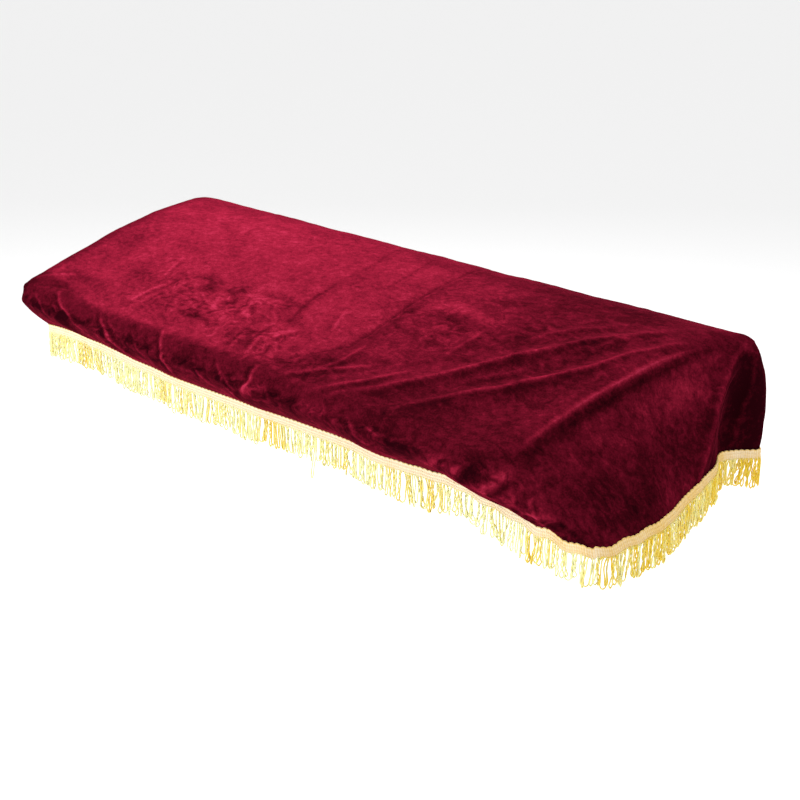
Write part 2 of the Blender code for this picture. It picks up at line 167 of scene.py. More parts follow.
# Broad folds: points along the crest, rise, half width before the crest and behind it.
# On the top the points are places in plan; on a side, places along it and down it (0 top, 1 seam).
TOP_FOLDS = (
    (((0.478, 0.15), (0.446, 0.078), (0.42, -0.02), (0.405, -0.09), (0.394, -0.185)), 0.004, 0.018, 0.018),
    (((0.41, 0.02), (0.35, -0.07), (0.29, -0.13), (0.24, -0.185)), 0.005, 0.018, 0.018),
    (((0.39, 0.075), (0.33, 0.0), (0.24, -0.11), (0.15, -0.19)), 0.005, 0.018, 0.018),
    (((0.19, -0.135), (0.1, -0.195)), 0.003, 0.018, 0.018),
    (((0.38, -0.03), (0.33, -0.11), (0.31, -0.17)), -0.004, 0.022, 0.022),
    (((0.1, 0.16), (0.09, 0.0), (0.09, -0.12)), -0.002, 0.03, 0.03),
    (((-0.3, -0.078), (-0.1, -0.082), (0.09, -0.074)), 0.002, 0.022, 0.022),
    (((-0.44, -0.06), (-0.43, -0.15)), -0.004, 0.026, 0.026),
)
FRONT_FOLDS = (
    (((-0.44, 0.1), (-0.39, 0.9)), 0.004, 0.018, 0.018),
    (((-0.32, 0.1), (-0.28, 0.9)), 0.003, 0.018, 0.018),
    (((-0.18, 0.1), (-0.2, 0.9)), 0.003, 0.016, 0.016),
    (((0.02, 0.1), (-0.03, 0.9)), 0.003, 0.018, 0.018),
    (((0.21, 0.1), (0.15, 0.9)), 0.003, 0.02, 0.02),
    (((0.33, 0.2), (0.29, 0.9)), 0.003, 0.02, 0.02),
    (((0.37, 0.4), (0.35, 0.9)), -0.003, 0.018, 0.018),
)
RIGHT_FOLDS = (
    (((0.165, 0.08), (0.105, 0.45), (0.06, 0.75), (0.0, 1.0)), 0.011, 0.018, 0.018),
    (((0.15, 0.3), (0.128, 0.7), (0.11, 1.0)), -0.01, 0.02, 0.02),
    (((0.0, 0.1), (-0.06, 0.5), (-0.1, 1.0)), 0.005, 0.03, 0.03),
    (((-0.06, 0.2), (-0.13, 0.9)), -0.003, 0.022, 0.022),
)

# Creases that show as lines: as above, and then how much lighter (+) or darker (-) the line is, on the scale
# of tones used further below: lighter along raised crests as a painted sheen, darker along sunken ones as
# painted shade, partly also the pile lying differently there. The long ones drag from the slack end's back
# corner. A side's creases may start on the top, where the place down the side is negative.
TOP_CREASES = (
    (((0.44, 0.085), (0.419, 0.044), (0.39, -0.013), (0.359, -0.053), (0.317, -0.101), (0.276, -0.14),
      (0.225, -0.182)), 0.006, 0.012, 0.006, 0.3),
    (((0.372, 0.06), (0.345, 0.025), (0.325, -0.009), (0.296, -0.039), (0.268, -0.078), (0.23, -0.122),
      (0.187, -0.161), (0.14, -0.193)), 0.0052, 0.01, 0.005, 0.3),
    (((0.19, -0.12), (0.161, -0.16), (0.115, -0.19)), 0.0026, 0.007, 0.003, 0.34),
    (((0.1, -0.1), (0.096, -0.138), (0.08, -0.164)), 0.0022, 0.006, 0.003, 0.24),
    (((0.142, -0.124), (0.097, -0.156), (0.05, -0.184)), 0.0018, 0.006, 0.003, 0.34),
    (((0.36, 0.095), (0.3, 0.03), (0.262, -0.02)), 0.0022, 0.008, 0.005, 0.14),
    (((0.33, -0.04), (0.29, -0.085), (0.262, -0.11)), 0.002, 0.008, 0.005, 0.16),
    (((0.41, 0.11), (0.38, 0.06), (0.362, 0.015)), 0.002, 0.008, 0.005, 0.12),
    (((0.214, -0.005), (0.212, -0.039), (0.21, -0.07)), 0.0012, 0.005, 0.003, 0.2),
    (((0.082, 0.172), (0.078, 0.066), (0.08, -0.04), (0.084, -0.073), (0.08, -0.104), (0.046, -0.14),
      (0.023, -0.162), (-0.01, -0.187)), -0.003, 0.004, 0.012, -0.26),
    (((0.004, 0.15), (0.021, 0.069), (0.024, 0.017)), -0.0008, 0.003, 0.005, -0.16),
    (((-0.068, 0.145), (-0.048, 0.072), (-0.048, 0.023)), -0.0008, 0.003, 0.005, -0.16),
    (((-0.052, 0.006), (-0.051, -0.049), (-0.034, -0.101)), -0.0014, 0.003, 0.005, -0.24),
    (((-0.327, -0.045), (-0.308, -0.097)), 0.0014, 0.005, 0.003, 0.22),
    (((-0.284, -0.1), (-0.298, -0.127), (-0.304, -0.16)), 0.0014, 0.005, 0.003, 0.24),
    (((-0.262, -0.075), (-0.232, -0.068), (-0.214, -0.085)), -0.0012, 0.004, 0.004, -0.24),
    (((-0.175, -0.062), (-0.15, -0.078)), -0.0012, 0.004, 0.004, -0.24),
    (((-0.135, -0.07), (-0.09, -0.062), (-0.06, -0.078)), -0.0012, 0.004, 0.004, -0.2),
    (((-0.205, -0.15), (-0.16, -0.142), (-0.13, -0.156)), -0.0012, 0.004, 0.004, -0.22),
    (((-0.12, -0.1), (-0.085, -0.128)), 0.0012, 0.005, 0.003, 0.18),
    (((-0.24, -0.118), (-0.195, -0.128)), 0.0012, 0.005, 0.003, 0.18),
    (((-0.01, -0.112), (-0.03, -0.14)), 0.0012, 0.005, 0.003, 0.22),
    (((0.035, -0.09), (0.017, -0.048)), 0.001, 0.004, 0.003, 0.22),
    (((-0.035, -0.176), (-0.047, -0.135)), 0.0018, 0.005, 0.003, 0.28),
    (((-0.062, -0.184), (-0.072, -0.15)), 0.0014, 0.005, 0.003, 0.2),
    (((-0.522, -0.185), (-0.48, -0.16), (-0.445, -0.14)), 0.003, 0.01, 0.006, 0.22),
    (((-0.5, -0.19), (-0.44, -0.172), (-0.395, -0.178), (-0.35, -0.196)), -0.004, 0.012, 0.012, -0.12),
)
FRONT_CREASES = (
    (((-0.436, -0.28), (-0.41, 0.02), (-0.382, 0.22), (-0.358, 0.44), (-0.34, 0.72)),
     0.0026, 0.006, 0.004, 0.5),
    (((-0.48, -0.06), (-0.422, 0.62)), 0.0016, 0.005, 0.003, 0.38),
    (((-0.316, -0.04), (-0.29, 0.27), (-0.266, 0.5), (-0.256, 0.8)), 0.0042, 0.008, 0.005, 0.62),
    (((-0.3, -0.1), (-0.268, 0.2)), 0.0016, 0.005, 0.003, 0.26),
    (((-0.238, 0.04), (-0.2, 0.7)), 0.0018, 0.005, 0.003, 0.4),
    (((-0.186, -0.24), (-0.175, 0.06), (-0.161, 0.45), (-0.165, 0.7), (-0.173, 0.85)),
     0.0028, 0.005, 0.004, 0.56),
    (((-0.1, 0.24), (-0.08, 0.64)), 0.002, 0.006, 0.004, 0.4),
    (((-0.062, -0.04), (-0.045, 0.27), (-0.038, 0.55), (-0.034, 0.8)), 0.004, 0.007, 0.005, 0.58),
    (((-0.046, 0.1), (-0.028, 0.44)), 0.0018, 0.005, 0.003, 0.3),
    (((0.002, -0.26), (0.003, 0.05), (-0.003, 0.24), (-0.01, 0.4)), 0.002, 0.005, 0.004, 0.54),
    (((0.028, 0.06), (0.042, 0.44)), 0.002, 0.007, 0.005, 0.26),
    (((0.172, 0.08), (0.186, 0.5)), 0.0024, 0.007, 0.005, 0.34),
    (((0.198, 0.1), (0.228, 0.4)), 0.0024, 0.007, 0.005, 0.3),
    (((0.255, 0.56), (0.298, 0.26)), 0.003, 0.007, 0.005, 0.34),
    (((0.3, 0.48), (0.345, 0.1)), 0.002, 0.007, 0.005, 0.28),
    (((0.322, 0.55), (0.372, 0.22)), 0.003, 0.007, 0.005, 0.36),
    (((0.352, 0.76), (0.384, 0.56)), 0.0024, 0.007, 0.006, 0.34),
)
RIGHT_CREASES = (
    (((-0.176, 0.06), (-0.15, 0.045), (-0.1, 0.04), (0.0, 0.045), (0.06, 0.04), (0.1, 0.01)),
     0.0066, 0.012, 0.005, 0.6),
    (((0.176, -0.06), (0.15, 0.08), (0.128, 0.2), (0.094, 0.42), (0.064, 0.62), (0.038, 0.8),
      (0.01, 1.03)), 0.008, 0.01, 0.005, 0.2),
    (((0.166, 0.12), (0.144, 0.28), (0.116, 0.44), (0.09, 0.62), (0.066, 0.8), (0.048, 0.98)),
     -0.009, 0.009, 0.01, -0.04),
    (((0.168, 0.1), (0.158, 0.3), (0.146, 0.7), (0.138, 1.0)), 0.0045, 0.005, 0.005, 0.24),
    (((0.04, 0.1), (0.0, 0.4), (-0.05, 0.75)), -0.004, 0.018, 0.022, -0.08),
    (((-0.06, 0.3), (-0.1, 0.7)), 0.002, 0.014, 0.02, 0.06),
)

# A crease's crest is rounded a little. Along it runs the line, and before it a darker one, a painted shade
# beside the crest: its depth as a share of the line's tone, and how far off and how wide it is in widths of
# the line
CREST_ROUND = 0.0014
LINE_WIDE = 0.0030
SHADE_BESIDE_DEPTH = 0.50
BESIDE_OFF = 2.4
BESIDE_WIDE = 1.8

# How much of a fold's height is there at its very ends, and how fast creases and their lines fade to them
FOLD_ENDS = 0.12
CREASE_FADE = 1.5
LINE_FADE = 0.8

# The cloth's own unevenness: height, size and seed of its lumps. The sewn hem is calmer by a share
LUMPS = ((0.0012, 0.060, 1), (0.0006, 0.022, 2), (0.0003, 0.009, 3))
HEM_CALM = 0.8

# Spacing of the sheet's mesh over the folded right half, the plain left half and across, and the number of
# rows down the sides and down the hem under the fringe's header
FINE_STEP = 0.0027
PLAIN_STEP = 0.0036
ACROSS_STEP = 0.0032
SIDE_ROWS = 28
HEADER_ROWS = 3
FOLDED_FROM_X = -0.02

# Further off than any place on the cover is from another
FAR_OFF = 9.0


def curve(rows, place, column):
    """A smooth curve through a table's rows, read at places in its first column."""
    rows = np.array(sorted(rows))
    x, y = rows[:, 0], rows[:, column]
    slope = np.empty(len(x))
    slope[0] = (y[1] - y[0]) / (x[1] - x[0])
    slope[1:-1] = (y[2:] - y[:-2]) / (x[2:] - x[:-2])
    slope[-1] = (y[-1] - y[-2]) / (x[-1] - x[-2])
    place = np.clip(place, x[0], x[-1])
    upper = np.clip(np.searchsorted(x, place), 1, len(x) - 1)
    lower = upper - 1
    gap = x[upper] - x[lower]
    t = (place - x[lower]) / gap
    return (y[lower] * (1 + 2 * t) * (1 - t) ** 2 + slope[lower] * gap * t * (1 - t) ** 2
            + y[upper] * t * t * (3 - 2 * t) + slope[upper] * gap * t * t * (t - 1))


def eased(share):
    """A share from 0 to 1 that starts and ends softly."""
    share = np.clip(share, 0, 1)
    return share ** 2 * (3 - 2 * share)


HALF_X = float(curve(RIGHT_RIDGE, 0, 1) - LEFT_X) / 2
HALF_Y = (BACK_Y - FRONT_Y) / 2
MIDDLE_Y = (BACK_Y + FRONT_Y) / 2


def top_x(share, y):
    """A place on the top from its share of the length, 0 at the left edge and 1 on the ridge."""
    return LEFT_X + share * (curve(RIGHT_RIDGE, y, 1) - LEFT_X)


def sharp_seam(side, share):
    """The seam as it would be with sharp corners, from the share of the side's length."""
    rows = SEAMS[side]
    along = rows[0][0] + share * (rows[-1][0] - rows[0][0])
    if side == "front":
        lean_left = rows[0][0] - LEFT_X
        lean_right = rows[-1][0] - top_x(1, FRONT_Y)
        along = top_x(share, FRONT_Y) + lean_left * (1 - share) ** 3 + lean_right * share ** 3
    across, height = curve(rows, along, 1), curve(rows, along, 2)
    if side in ("front", "back"):
        return np.stack([along, across, height], -1)
    return np.stack([across, along, height], -1)


def soft_seam(side, share):
    """The seam with softened corners: a weighted mean of the sharp seam on both sides of a place."""
    total = 0
    weights = 0
    for step in range(-SOFTENING_STEPS, SOFTENING_STEPS + 1):
        moved = share + step / SOFTENING_STEPS * SEAM_SOFTENING / SIDE_LONG[side]
        points = sharp_seam(side, np.clip(moved, 0, 1))
        for beyond, (other, at_end) in zip((-moved, moved - 1), NEXT_SIDE[side]):
            entered = np.clip(beyond * SIDE_LONG[side] / SIDE_LONG[other], 0, 1)
            past = sharp_seam(other, 1 - entered if at_end else entered)
            points = np.where((beyond > 0)[:, None], past, points)
        weight = 1 - abs(step) / (SOFTENING_STEPS + 1)
        total = total + weight * points
        weights += weight
    return total / weights


def by_quarter(column, x, y):
    """A value from the corner table, for the quarter of the plan that holds each place."""
    value = {row[:2]: row[column] for row in CORNERS}
    at_right = np.where(y > 0, value[1, 1], value[1, -1])
    return np.where(x > 0, at_right, np.where(y > 0, value[-1, 1], value[-1, -1]))


def rounded_plan(x, y):
    """Round the corners of the plan: the places, their way out, and how far in from the edge they lie."""
    left_x, left_y = HALF_X - abs(x), HALF_Y - abs(y)
    inward = np.minimum(left_x, left_y)
    radius = by_quarter(2, x, y)
    centre = np.stack([np.sign(x) * (HALF_X - radius), np.sign(y) * (HALF_Y - radius)], -1)
    arm = np.stack([x, y], -1) - centre
    arm /= np.maximum(np.linalg.norm(arm, axis=-1, keepdims=True), 1e-9)
    in_corner = ((left_x < radius) & (left_y < radius))[:, None]
    straight = np.where(left_x < left_y, [np.sign(x), 0 * y], [0 * x, np.sign(y)]).T
    place = np.where(in_corner, centre + arm * (radius - inward)[:, None], np.stack([x, y], -1))
    return place, np.where(in_corner, arm, straight), inward


def on_top(plan):
    """The places on the top's surface for places of the plan."""
    y = MIDDLE_Y + plan[:, 1]
    return np.stack([top_x((plan[:, 0] + HALF_X) / (2 * HALF_X), y), y, curve(TOP_PROFILE, y, 1)], -1)


def side_of(x, y):
    """The side below each place of the outline."""
    long_side = HALF_Y - abs(y) <= HALF_X - abs(x) + 1e-9
    return np.where(long_side, np.where(y > 0, "back", "front"), np.where(x > 0, "right", "left"))


def edge_and_seam(x, y):
    """The fold line above each place of the outline, the seam below it, and the way out."""
    plan, way_out, _ = rounded_plan(x, y)
    edge = on_top(plan)
    side = side_of(x, y)
    seam = np.zeros_like(edge)
    for name in SEAMS:
        here = side == name
        share = (x + HALF_X) / (2 * HALF_X) if name in ("front", "back") else (y + HALF_Y) / (2 * HALF_Y)
        if here.any():
            seam[here] = soft_seam(name, share[here])
    passed = np.where(side == "front", seam[:, 0], PAST_CORNER + seam[:, 1])
    waved = HEM_WAVES["tall"] * np.exp(-((passed - HEM_WAVES["middle"]) / HEM_WAVES["reach"]) ** 2)
    waved = waved * np.sin(2 * np.pi * passed / HEM_WAVES["long"])
    seam[:, 2] += np.where((seam[:, 0] > WAVES_FROM_X) & (seam[:, 1] < WAVES_TO_Y), waved, 0)
    return edge, seam, way_out


def round_corner(values, way_out):
    """One of the sides' values, passing smoothly from side to side round a corner."""
    beside = np.where(way_out[:, 0] > 0, values["right"], values["left"])
    across = np.where(way_out[:, 1] > 0, values["back"], values["front"])
    return beside * way_out[:, 0] ** 2 + across * way_out[:, 1] ** 2


def fold_over(distance, edge, seam, way_out, on_side):
    """How far the rounding of the top edge moves points at a distance from the fold line."""
    outwards = ((seam - edge)[:, :2] * way_out).sum(-1)
    turn = np.arctan2(edge[:, 2] - seam[:, 2], outwards)
    radius = round_corner(EDGE_ROUND, way_out)
    reach = radius * np.tan(turn / 2)
    near = distance < reach
    sign = 1 if on_side else -1
    angle = turn / 2 * (1 + sign * distance / reach)
    out = -reach + radius * np.sin(angle)
    up = -radius + radius * np.cos(angle)
    out += -distance * np.cos(turn) if on_side else distance
    up += distance * np.sin(turn) if on_side else 0
    return np.where(near, out, 0), np.where(near, up, 0)


def rise_of(folds, across, down):
    """The sum of broad folds at each place, or of creases with their lines' tone, a painted sheen and shade.
    Each fades to its ends.
    """
    rise = np.zeros(len(across))
    tone = np.zeros(len(across))
    for crest, height, before, behind, *line in folds:
        points = np.array(crest)
        ways = np.diff(points, axis=0)
        runs = np.linalg.norm(ways, axis=1)
        nearest = np.full(len(across), FAR_OFF)
        along = np.zeros(len(across))
        ahead = np.zeros(len(across), bool)
        passed = 0
        for start, way, run in zip(points, ways, runs):
            off_a, off_d = across - start[0], down - start[1]
            share = np.clip((off_a * way[0] + off_d * way[1]) / run ** 2, 0, 1)
            away = np.hypot(off_a - share * way[0], off_d - share * way[1])
            closer = away < nearest
            nearest = np.where(closer, away, nearest)
            along = np.where(closer, (passed + share * run) / runs.sum(), along)
            ahead = np.where(closer, way[0] * off_d - way[1] * off_a > 0, ahead)
            passed += run
        wide = np.where(ahead, before, behind)
        fade = np.sin(np.pi * (FOLD_ENDS + (1 - 2 * FOLD_ENDS) * along))
        if line:
            off_crest = np.hypot(nearest, CREST_ROUND) - CREST_ROUND
            rise += height * fade ** CREASE_FADE * np.exp(-off_crest / wide)
            # The line is a painted sheen along a raised crest or painted shade along a sunken one, partly the
            # pile; before it lies a painted shade
            beside = (np.where(ahead, nearest, -nearest) - BESIDE_OFF * LINE_WIDE) / (BESIDE_WIDE * LINE_WIDE)
            tone += line[0] * fade ** LINE_FADE * np.exp(-(nearest / LINE_WIDE) ** 2)
            tone -= SHADE_BESIDE_DEPTH * abs(line[0]) * fade * np.exp(-beside ** 2)
        else:
            rise += height * fade * np.exp(-(nearest / wide) ** 2)
    return rise, tone


def spread(start, end, step):
    """Evenly spaced places from start up to end, without end, no further apart than a step."""
    return list(np.linspace(start, end, math.ceil((end - start) / step) + 1)[:-1])


def weave_sheet():
    """The cover's outside as vertices and faces, with its seam and hem rings, and each vertex's place."""
    split = FOLDED_FROM_X - LEFT_X - HALF_X
    xs = np.array(spread(-HALF_X, split, PLAIN_STEP) + spread(split, HALF_X, FINE_STEP) + [HALF_X])
    ys = np.array(spread(-HALF_Y, HALF_Y, ACROSS_STEP) + [HALF_Y])
    wide, deep = len(xs), len(ys)
    x, y = [a.ravel() for a in np.meshgrid(xs, ys)]

    # The top, with its edge rounded over
    plan, way_out, inward = rounded_plan(x, y)
    top = on_top(plan)
    depth = top[:, 1].copy()
    out_to_edge = [half / (half - inward + 1e-12) for half in (HALF_X, HALF_Y)]
    edge, seam, _ = edge_and_seam(x * out_to_edge[0], y * out_to_edge[1])
    out, up = fold_over(inward, edge, seam, way_out, False)
    top += np.stack([way_out[:, 0] * out, way_out[:, 1] * out, up], -1)

    # The outline, anticlockwise from the front left corner
    index = np.arange(wide * deep).reshape(deep, wide)
    ring = np.concatenate([index[0, :-1], index[:-1, -1], index[-1, :0:-1], index[:0:-1, 0]])
    around_x, around_y = x[ring], y[ring]
    edge, seam, way_out = edge_and_seam(around_x, around_y)
    side = side_of(around_x, around_y)
    length = np.linalg.norm(seam - edge, axis=1)
    from_corner = eased(np.maximum(HALF_X - abs(around_x), HALF_Y - abs(around_y)) / CORNER_REACH)
    corner_swell = by_quarter(3, around_x, around_y)
    bulge = np.select([side == name for name in BULGE], list(BULGE.values()))
    swell = corner_swell + (bulge - corner_swell) * from_corner
    kept = round_corner(KEPT_SLOPE, way_out)[:, None]
    hang = (seam - edge) / length[:, None] * kept + np.array([0, 0, 1.0]) * (kept - 1)
    hang /= np.linalg.norm(hang, axis=1, keepdims=True)

    rows = [top]
    places = {"side": [np.full(len(x), "top")], "share": [x * 0]}
    for number in range(1, SIDE_ROWS + HEADER_ROWS + 1):
        share = min(1.0, number / SIDE_ROWS)
        below = max(0, number - SIDE_ROWS) / HEADER_ROWS * HEADER_TALL
        point = edge + (seam - edge) * share + hang * below
        out, up = fold_over(share * length, edge, seam, way_out, True)
        out = out + swell * 4 * share * (1 - share) * min(1.0, share / BULGE_STARTS)
        point = point + np.stack([way_out[:, 0] * out, way_out[:, 1] * out, up], -1)
        rows.append(point)
        places["side"].append(side)
        places["share"].append(np.full(len(ring), share))

    faces = [np.stack([index[:-1, :-1], index[:-1, 1:], index[1:, 1:], index[1:, :-1]], -1).reshape(-1, 4)]
    upper = ring
    rings = [ring]
    for number in range(1, SIDE_ROWS + HEADER_ROWS + 1):
        lower = wide * deep + (number - 1) * len(ring) + np.arange(len(ring))
        faces.append(np.stack([upper, lower, np.roll(lower, -1), np.roll(upper, -1)], -1))
        upper = lower
        rings.append(lower)
    places = {key: np.concatenate(parts) for key, parts in places.items()}

    # The place along each side and down it, which is negative on the top, before the edge
    repeats = SIDE_ROWS + HEADER_ROWS
    down = places["share"]
    for name, line, here in (("front", 0, depth - FRONT_Y), ("right", 1, top_x(1, depth) - top[:, 0])):
        places[name, "along"] = np.concatenate([top[:, line], np.tile(edge[:, line], repeats)])
        on_side = np.where(places["side"] == name, down * SIDE_TALL[name], FAR_OFF)
        on_side[:len(x)] = -here
        places[name, "down"] = on_side
    return np.concatenate(rows), np.concatenate(faces), rings, places


def mesh_of(name, points, faces):
    """A smooth mesh object from an array of points and a list of faces."""
    mesh = bpy.data.meshes.new(name)
    mesh.from_pydata(points.tolist(), [], faces)
    mesh.update()
    mesh.shade_smooth()
    return new_object(name, mesh)


def store(thing, name, values):
    """Keep one value for each point on an object's mesh, for its material."""
    thing.data.attributes.new(name, "FLOAT", "POINT").data.foreach_set("value", values.astype(np.float32))


def outward(points, faces):
    """The vertex normals of a sheet of four-sided faces."""
    a, b, c, d = (points[faces[:, k]] for k in range(4))
    face_normals = np.cross(c - a, d - b)
    normals = np.zeros_like(points)
    for k in range(4):
        np.add.at(normals, faces[:, k], face_normals)
    return normals / np.linalg.norm(normals, axis=1, keepdims=True)


def uneven(points, size, seed):
    """Smooth noise from -1 to 1 at each point, its lumps about as big as the size given."""
    shift = Vector((seed * 17.0, seed * 5.0, seed * 11.0))
    return np.array([noise.noise(Vector(p) / size + shift) for p in points])


def fold_sheet(points, faces, places):
    """Lay the broad folds, then the creases and the cloth's own unevenness, along the sheet's normals.

    The tone of the creases' lines, a painted sheen and painted shade, comes back too."""
    share = places["share"]
    started = np.minimum(1, share / BULGE_STARTS)
    for top_folds, front_folds, right_folds, begun in (
            (TOP_FOLDS, FRONT_FOLDS, RIGHT_FOLDS, started), (TOP_CREASES, FRONT_CREASES, RIGHT_CREASES, 1)):
        normals = outward(points, faces)
        rise, tone = (values * (1 - share) ** 2 for values in rise_of(top_folds, points[:, 0], points[:, 1]))
        for name, folds in (("front", front_folds), ("right", right_folds)):
            tall = SIDE_TALL[name]
            scaled = [([(a, d * tall) for a, d in crest], *rest) for crest, *rest in folds]
            side_rise, side_tone = rise_of(scaled, places[name, "along"], places[name, "down"])
            rise += side_rise * begun
            tone += side_tone
        points = points + normals * rise[:, None]
    normals = outward(points, faces)
    lumps = sum(height * uneven(points, size, seed) for height, size, seed in LUMPS)
    return points + normals * (lumps * (1 - HEM_CALM * (share >= 1)))[:, None], tone


sheet_points, sheet_faces, sheet_rings, sheet_places = weave_sheet()
# The creases' lines come back as painted sheen and painted shade
sheet_points, crease_sheen_and_shade = fold_sheet(sheet_points, sheet_faces, sheet_places)
lowered = np.array([0, BEARING_Y, float(curve(TOP_PROFILE, BEARING_Y, 1)) - SOLID_CLOTH])
sheet_points -= lowered
sheet_normals = outward(sheet_points, sheet_faces)
cover = mesh_of("velvet_cloth", sheet_points, sheet_faces.tolist())

# The pile lies one way left of a line across the top and the other way right of it, so the left is lighter.
# Further right the top fades darker, partly the pile and partly painted shade, and the sides are darker than
# the top as painted shade. The line as places: y, x; then the tone of each part of the cover, from 0
# (darkest) to 1 (lightest)
PILE_LINE = (
    (0.18, 0.094), (0.066, 0.077), (0.009, 0.08), (-0.04, 0.079), (-0.073, 0.084), (-0.104, 0.078),
    (-0.14, 0.046), (-0.162, 0.02), (-0.213, -0.05),
)
LEFT_TONE = 0.69
LINE_DROP = 0.07
LINE_SOFT = 0.016
RIGHT_TONE = 0.35
RIGHT_FADE = 0.24
RIGHT_FADE_POWER = 0.8
SIDE_SHADE_TONE = {"front": 0.32, "right": 0.42, "back": 0.40, "left": 0.42}

# A side's tone takes over from the top's a little below the edge: share down the side, and over what share
SIDE_CHANGE_FROM = 0.05
SIDE_CHANGE_OVER = 1 / 7

# Behind the big fold of the slack end the cloth lies in its shade: share down the side, place along it
SHADE_LINE = ((-0.02, 0.176), (0.20, 0.131), (0.42, 0.097), (0.62, 0.067), (0.80, 0.041), (1.02, 0.014))
SHADE_TONE = 0.06
SHADE_SOFT = 0.007

# The line where the top rolls over to the front, past which it is no lighter than a tone, a painted shade
# where the cloth turns down to the front: x, y. It is soft, and wanders by a distance over lumps of a size
ROLL_LINE = (
    (-0.53, -0.16), (-0.47, -0.165), (-0.44, -0.168), (-0.4, -0.181), (-0.35, -0.19), (-0.25, -0.192),
    (-0.15, -0.187), (-0.05, -0.185), (0.05, -0.19), (0.15, -0.198), (0.3, -0.206), (0.48, -0.216),
)
ROLL_SHADE_TONE = 0.40
ROLL_SOFT = 0.012
ROLL_WANDER = 0.004
ROLL_LUMPS = 0.030

# It rolls over darker at the back too, as painted shade, from one y to another and up to near the ridge, and
# at the left
BACK_PAINTED_SHADE = {"tone": 0.21, "from_y": 0.095, "over": 0.060, "until_x": 0.42, "fading": 0.06}
LEFT_PAINTED_SHADE = {"tone": 0.34, "over": 0.034}

# Where the cloth is lighter (+) or darker (-): partly marks where the pile was brushed, partly painted light
# and painted shade where folds face the lamps or turn from them: centre, reach along and across, strength.
# On the top the places are in plan. On a side they are the place along it and the share down it.
PILE_AND_LIGHT_MARKS_TOP = (
    (-0.3, 0.08, 0.15, 0.08, 0.06), (-0.515, 0.0, 0.03, 0.16, -0.08), (-0.47, -0.06, 0.04, 0.08, -0.12),
    (-0.43, -0.146, 0.03, 0.012, -0.2), (-0.34, -0.1, 0.04, 0.03, -0.14),
    (-0.212, -0.087, 0.02, 0.014, -0.28), (-0.365, -0.164, 0.03, 0.012, -0.1),
    (-0.487, -0.185, 0.02, 0.012, 0.16), (-0.24, -0.06, 0.03, 0.02, 0.08),
    (-0.163, -0.075, 0.018, 0.01, -0.28), (-0.243, -0.148, 0.022, 0.01, -0.1),
    (-0.163, -0.146, 0.032, 0.008, -0.26), (-0.072, -0.075, 0.018, 0.01, -0.12),
    (-0.015, -0.09, 0.05, 0.03, 0.05), (0.06, -0.09, 0.022, 0.05, 0.03),
    (-0.05, -0.158, 0.03, 0.014, -0.15), (-0.035, -0.1, 0.02, 0.012, -0.12),
    (-0.03, -0.045, 0.07, 0.018, 0.07), (0.082, -0.143, 0.026, 0.014, -0.26),
    (0.093, -0.04, 0.01, 0.06, -0.14), (0.098, 0.08, 0.01, 0.08, -0.08),
    (0.17, 0.02, 0.06, 0.018, 0.18), (0.157, -0.002, 0.022, 0.01, -0.22),
    (0.12, -0.08, 0.024, 0.01, -0.14), (0.25, 0.0, 0.06, 0.01, -0.12), (0.33, 0.06, 0.05, 0.06, -0.02),
    (0.245, -0.072, 0.03, 0.01, -0.14), (0.297, -0.094, 0.024, 0.01, -0.16),
    (0.312, -0.161, 0.03, 0.012, -0.06), (0.2, -0.175, 0.12, 0.022, -0.08),
    (0.05, -0.185, 0.07, 0.016, -0.06), (-0.505, -0.17, 0.03, 0.01, 0.08),
    (-0.33, -0.172, 0.03, 0.008, -0.08), (0.425, 0.02, 0.025, 0.05, 0.13),
    (0.44, 0.08, 0.02, 0.03, 0.1), (0.395, -0.089, 0.015, 0.03, 0.08),
    (0.471, 0.151, 0.015, 0.015, 0.06), (0.225, 0.12, 0.07, 0.03, -0.06),
    (0.12, -0.118, 0.04, 0.008, -0.1), (0.385, 0.05, 0.03, 0.016, 0.11),
    (0.369, -0.058, 0.02, 0.014, 0.1), (0.402, -0.005, 0.02, 0.014, 0.09),
    (0.311, -0.127, 0.022, 0.01, 0.11), (-0.385, -0.15, 0.022, 0.012, -0.08),
    (-0.333, -0.117, 0.014, 0.008, 0.08), (-0.3, -0.104, 0.018, 0.01, -0.08),
)
PILE_AND_LIGHT_MARKS_RIGHT = (
    (0.048, 0.3, 0.04, 0.16, 0.2), (-0.05, 0.3, 0.05, 0.14, 0.08), (-0.15, 0.2, 0.03, 0.2, 0.04),
    (-0.025, 0.68, 0.07, 0.16, -0.16), (0.06, 0.62, 0.03, 0.3, -0.12), (-0.12, 0.85, 0.06, 0.2, -0.1),
    (-0.16, 0.5, 0.03, 0.3, -0.06), (0.09, 0.42, 0.016, 0.3, 0.04), (-0.085, 0.1, 0.1, 0.07, -0.12),
    (0.085, 0.12, 0.025, 0.1, 0.1), (0.045, 0.72, 0.012, 0.12, 0.14), (0.015, 0.58, 0.014, 0.12, -0.09),
    (-0.069, 0.54, 0.02, 0.08, -0.06), (-0.127, 0.68, 0.02, 0.08, -0.05),
    (-0.192, 0.66, 0.016, 0.2, 0.1), (-0.145, 0.84, 0.05, 0.12, -0.07),
)
PILE_AND_LIGHT_MARKS_FRONT = (
    (0.3, 0.6, 0.06, 0.3, 0.06), (0.21, 0.6, 0.03, 0.25, -0.06), (-0.15, 0.5, 0.04, 0.3, -0.1),
    (-0.27, 0.5, 0.025, 0.3, 0.06), (-0.42, 0.45, 0.05, 0.4, -0.13), (-0.01, 0.35, 0.05, 0.25, 0.06),
    (0.335, 0.36, 0.018, 0.2, 0.12), (0.366, 0.78, 0.03, 0.22, 0.09), (-0.46, 0.15, 0.04, 0.3, -0.1),
    (-0.36, 0.25, 0.05, 0.35, -0.1), (-0.22, 0.25, 0.04, 0.35, -0.08), (0.1, 0.35, 0.045, 0.3, 0.09),
    (0.135, 0.6, 0.03, 0.3, 0.06), (-0.008, 0.58, 0.022, 0.16, -0.09),
)

